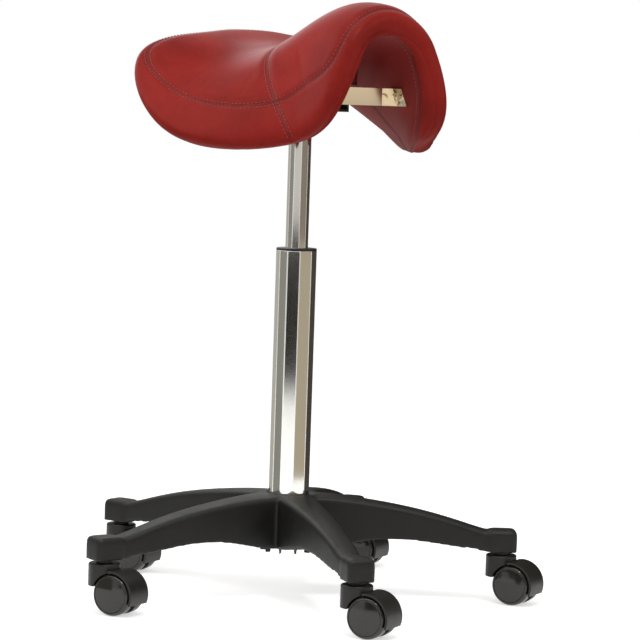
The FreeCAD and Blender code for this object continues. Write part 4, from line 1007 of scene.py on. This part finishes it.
class STOOL_OT_stage(bpy.types.Operator):
    """Set the pale floor, the soft studio light and the camera"""
    bl_idname = "stool.stage"
    bl_label = "Stage"

    def execute(self, context):
        scene, stage = context.scene, settings("stage")
        scene.view_settings.view_transform = "Standard"
        self.camera(scene, stage)
        self.floor()
        self.world(scene, stage)
        self.lamps()
        self.cards(stage)
        return {"FINISHED"}

    def camera(self, scene, stage):
        data = bpy.data.cameras.new("camera")
        data.sensor_width, data.lens = 36.0, stage.lens
        data.clip_end = 60.0
        obj = link("camera", data)
        side = stage.azimuth
        place = Vector((math.sin(side), -math.cos(side), 0)) * stage.distance
        place.z = stage.height
        look = math.atan2(-place.y, -place.x) - stage.yaw
        ahead = Vector((math.cos(look), math.sin(look), 0)) * math.cos(stage.pitch)
        ahead.z = -math.sin(stage.pitch)
        right = ahead.cross(Vector((0, 0, 1))).normalized()
        up = right.cross(ahead)
        turned_right = right * math.cos(stage.roll) - up * math.sin(stage.roll)
        turned_up = right * math.sin(stage.roll) + up * math.cos(stage.roll)
        turn = Matrix((turned_right, turned_up, -ahead)).transposed()
        obj.matrix_world = Matrix.Translation(place) @ turn.to_4x4()
        scene.camera = obj

    def floor(self):
        corners = [(-30, -30, 0), (30, -30, 0), (30, 30, 0), (-30, 30, 0)]
        obj = link("floor", new_mesh("floor", corners, [(0, 1, 2, 3)]))
        shade = Shader("floor_white", Roughness=0.9, Specular_IOR_Level=0.1, Emission_Strength=1.0)
        tone = shade.noise(1.5, 2.0)
        shade.set("Base Color", shade.mix(tone, (0.88, 0.88, 0.88), (0.90, 0.90, 0.90)))
        seen = shade.add("ShaderNodeLightPath", {}, {}, "Is Camera Ray")
        mirrored = shade.add("ShaderNodeLightPath", {}, {}, "Is Glossy Ray")
        shade.set("Emission Color", shade.mix(seen + mirrored, (0, 0, 0), (0.55, 0.55, 0.55)))
        obj.data.materials.append(shade.material)

    def world(self, scene, stage):
        """Light from all round, which the camera, gloss and glass see as plain white."""
        scene.world = world = bpy.data.worlds.new("studio")
        world.use_nodes = True
        nodes, links = world.node_tree.nodes, world.node_tree.links
        plain, white = nodes["Background"], nodes.new("ShaderNodeBackground")
        plain.inputs["Color"].default_value = (1.0, 0.99, 0.97, 1)
        plain.inputs["Strength"].default_value = stage.world
        white.inputs["Color"].default_value = (1, 1, 1, 1)
        white.inputs["Strength"].default_value = 1.0
        seen = nodes.new("ShaderNodeLightPath").outputs
        either, both = nodes.new("ShaderNodeMath"), nodes.new("ShaderNodeMath")
        either.operation = both.operation = "MAXIMUM"
        mix = nodes.new("ShaderNodeMixShader")
        for start, end in (
                (seen["Is Camera Ray"], either.inputs[0]), (seen["Is Glossy Ray"], both.inputs[0]),
                (seen["Is Transmission Ray"], both.inputs[1]), (both.outputs[0], either.inputs[1]),
                (either.outputs[0], mix.inputs["Fac"]), (plain.outputs[0], mix.inputs[1]),
                (white.outputs[0], mix.inputs[2]),
                (mix.outputs[0], nodes["World Output"].inputs["Surface"])):
            links.new(start, end)

    def lamps(self):
        """Soft boxes aimed at the column: azimuth from the front, distance, height, size, watts."""
        aim = Vector((0, 0, 0.45))
        for name, turn, reach, height, size, watts in (
                ("lamp_top", -80, 0.7, 2.3, 1.6, 14), ("lamp_left", -115, 2.2, 1.5, 1.4, 12),
                ("lamp_right", 30, 2.4, 1.5, 1.2, 7), ("lamp_glint", -19, 1.4, 2.4, 0.4, 14)):
            data = bpy.data.lights.new(name, "AREA")
            data.energy, data.size, data.shape = watts, size, "SQUARE"
            obj = link(name, data)
            side = math.radians(turn)
            place = Vector((math.sin(side) * reach, -math.cos(side) * reach, height))
            turn_to = (aim - place).to_track_quat("-Z", "Y")
            obj.matrix_world = Matrix.Translation(place) @ turn_to.to_matrix().to_4x4()

    def cards(self, stage):
        """Dark, tan and bright screens of the studio that only the gloss sees.

        Each is a strip of a cylinder: turn is its middle from the camera's side, wide its width.
        """
        base = math.degrees(stage.azimuth)
        for name, turn, wide, reach, low, high, colour in (
                ("card_dark", -14, 66, 2.1, 0.04, 0.36, (0.030, 0.028, 0.024)),
                ("card_grey", -14, 66, 2.1, 0.36, 0.9, (0.68, 0.66, 0.63)),
                ("card_olive", -78, 50, 0.75, 0.0, 0.61, (0.30, 0.295, 0.26)),
                ("card_far", -142, 68, 0.75, 0.0, 0.61, (0.50, 0.49, 0.45)),
                ("card_haze", -104, 148, 0.75, 0.61, 1.25, (2.1, 2.1, 2.15)),
                ("card_tan", 58, 70, 0.9, 0.03, 0.395, (0.48, 0.42, 0.31)),
                ("card_brown", 58, 70, 0.9, 0.395, 0.6, (0.27, 0.23, 0.19)),
                ("card_cream", 58, 70, 0.9, 0.6, 0.9, (0.90, 0.80, 0.66)),
                ("card_edge", 138, 82, 0.75, 0.0, 0.9, (0.07, 0.06, 0.05))):
            angle = np.radians(np.linspace(turn - wide / 2, turn + wide / 2, 24) + base)
            height = np.array([low, high])[:, None]
            points = np.stack(np.broadcast_arrays(
                np.sin(angle) * reach, -np.cos(angle) * reach, height), -1)
            obj = add_object(name, points, grid_faces(2, 24))
            shade = Shader(name, Roughness=1.0, Specular_IOR_Level=0.0)
            shade.surface.inputs["Base Color"].default_value = (0, 0, 0, 1)
            shade.surface.inputs["Emission Color"].default_value = (*colour, 1)
            shade.surface.inputs["Emission Strength"].default_value = 1.0
            obj.data.materials.append(shade.material)
            obj.visible_camera = obj.visible_diffuse = obj.visible_shadow = False


class STOOL_PT_panel(bpy.types.Panel):
    """Lists the stool's settings and pieces"""
    bl_idname = "STOOL_PT_panel"
    bl_label = "Saddle stool"
    bl_space_type = "VIEW_3D"
    bl_region_type = "UI"
    bl_category = "Saddle stool"

    def draw(self, context):
        for name in GROUPS:
            group = settings(name)
            box = self.layout.box()
            for key in group.bl_rna.properties.keys()[2:]:
                box.prop(group, key)
        for operator in OPERATORS:
            self.layout.operator(operator.bl_idname)


GROUPS = {"leather": StoolLeather, "stitching": StoolStitching, "hard": StoolHard, "stage": StoolStage}
OPERATORS = [STOOL_OT_finishes, STOOL_OT_saddle, STOOL_OT_lift, STOOL_OT_base, STOOL_OT_stage]


def register():
    for cls in [*GROUPS.values(), *OPERATORS, STOOL_PT_panel]:
        bpy.utils.register_class(cls)
    for name, cls in GROUPS.items():
        setattr(bpy.types.Scene, "stool_" + name, PointerProperty(type=cls))


def unregister():
    for name in GROUPS:
        delattr(bpy.types.Scene, "stool_" + name)
    for cls in reversed([*GROUPS.values(), *OPERATORS, STOOL_PT_panel]):
        bpy.utils.unregister_class(cls)


def main():
    register()
    bpy.ops.stool.finishes()
    bpy.ops.stool.saddle()
    bpy.ops.stool.lift()
    bpy.ops.stool.base()
    bpy.ops.stool.stage()


if __name__ == "__main__":
    main()
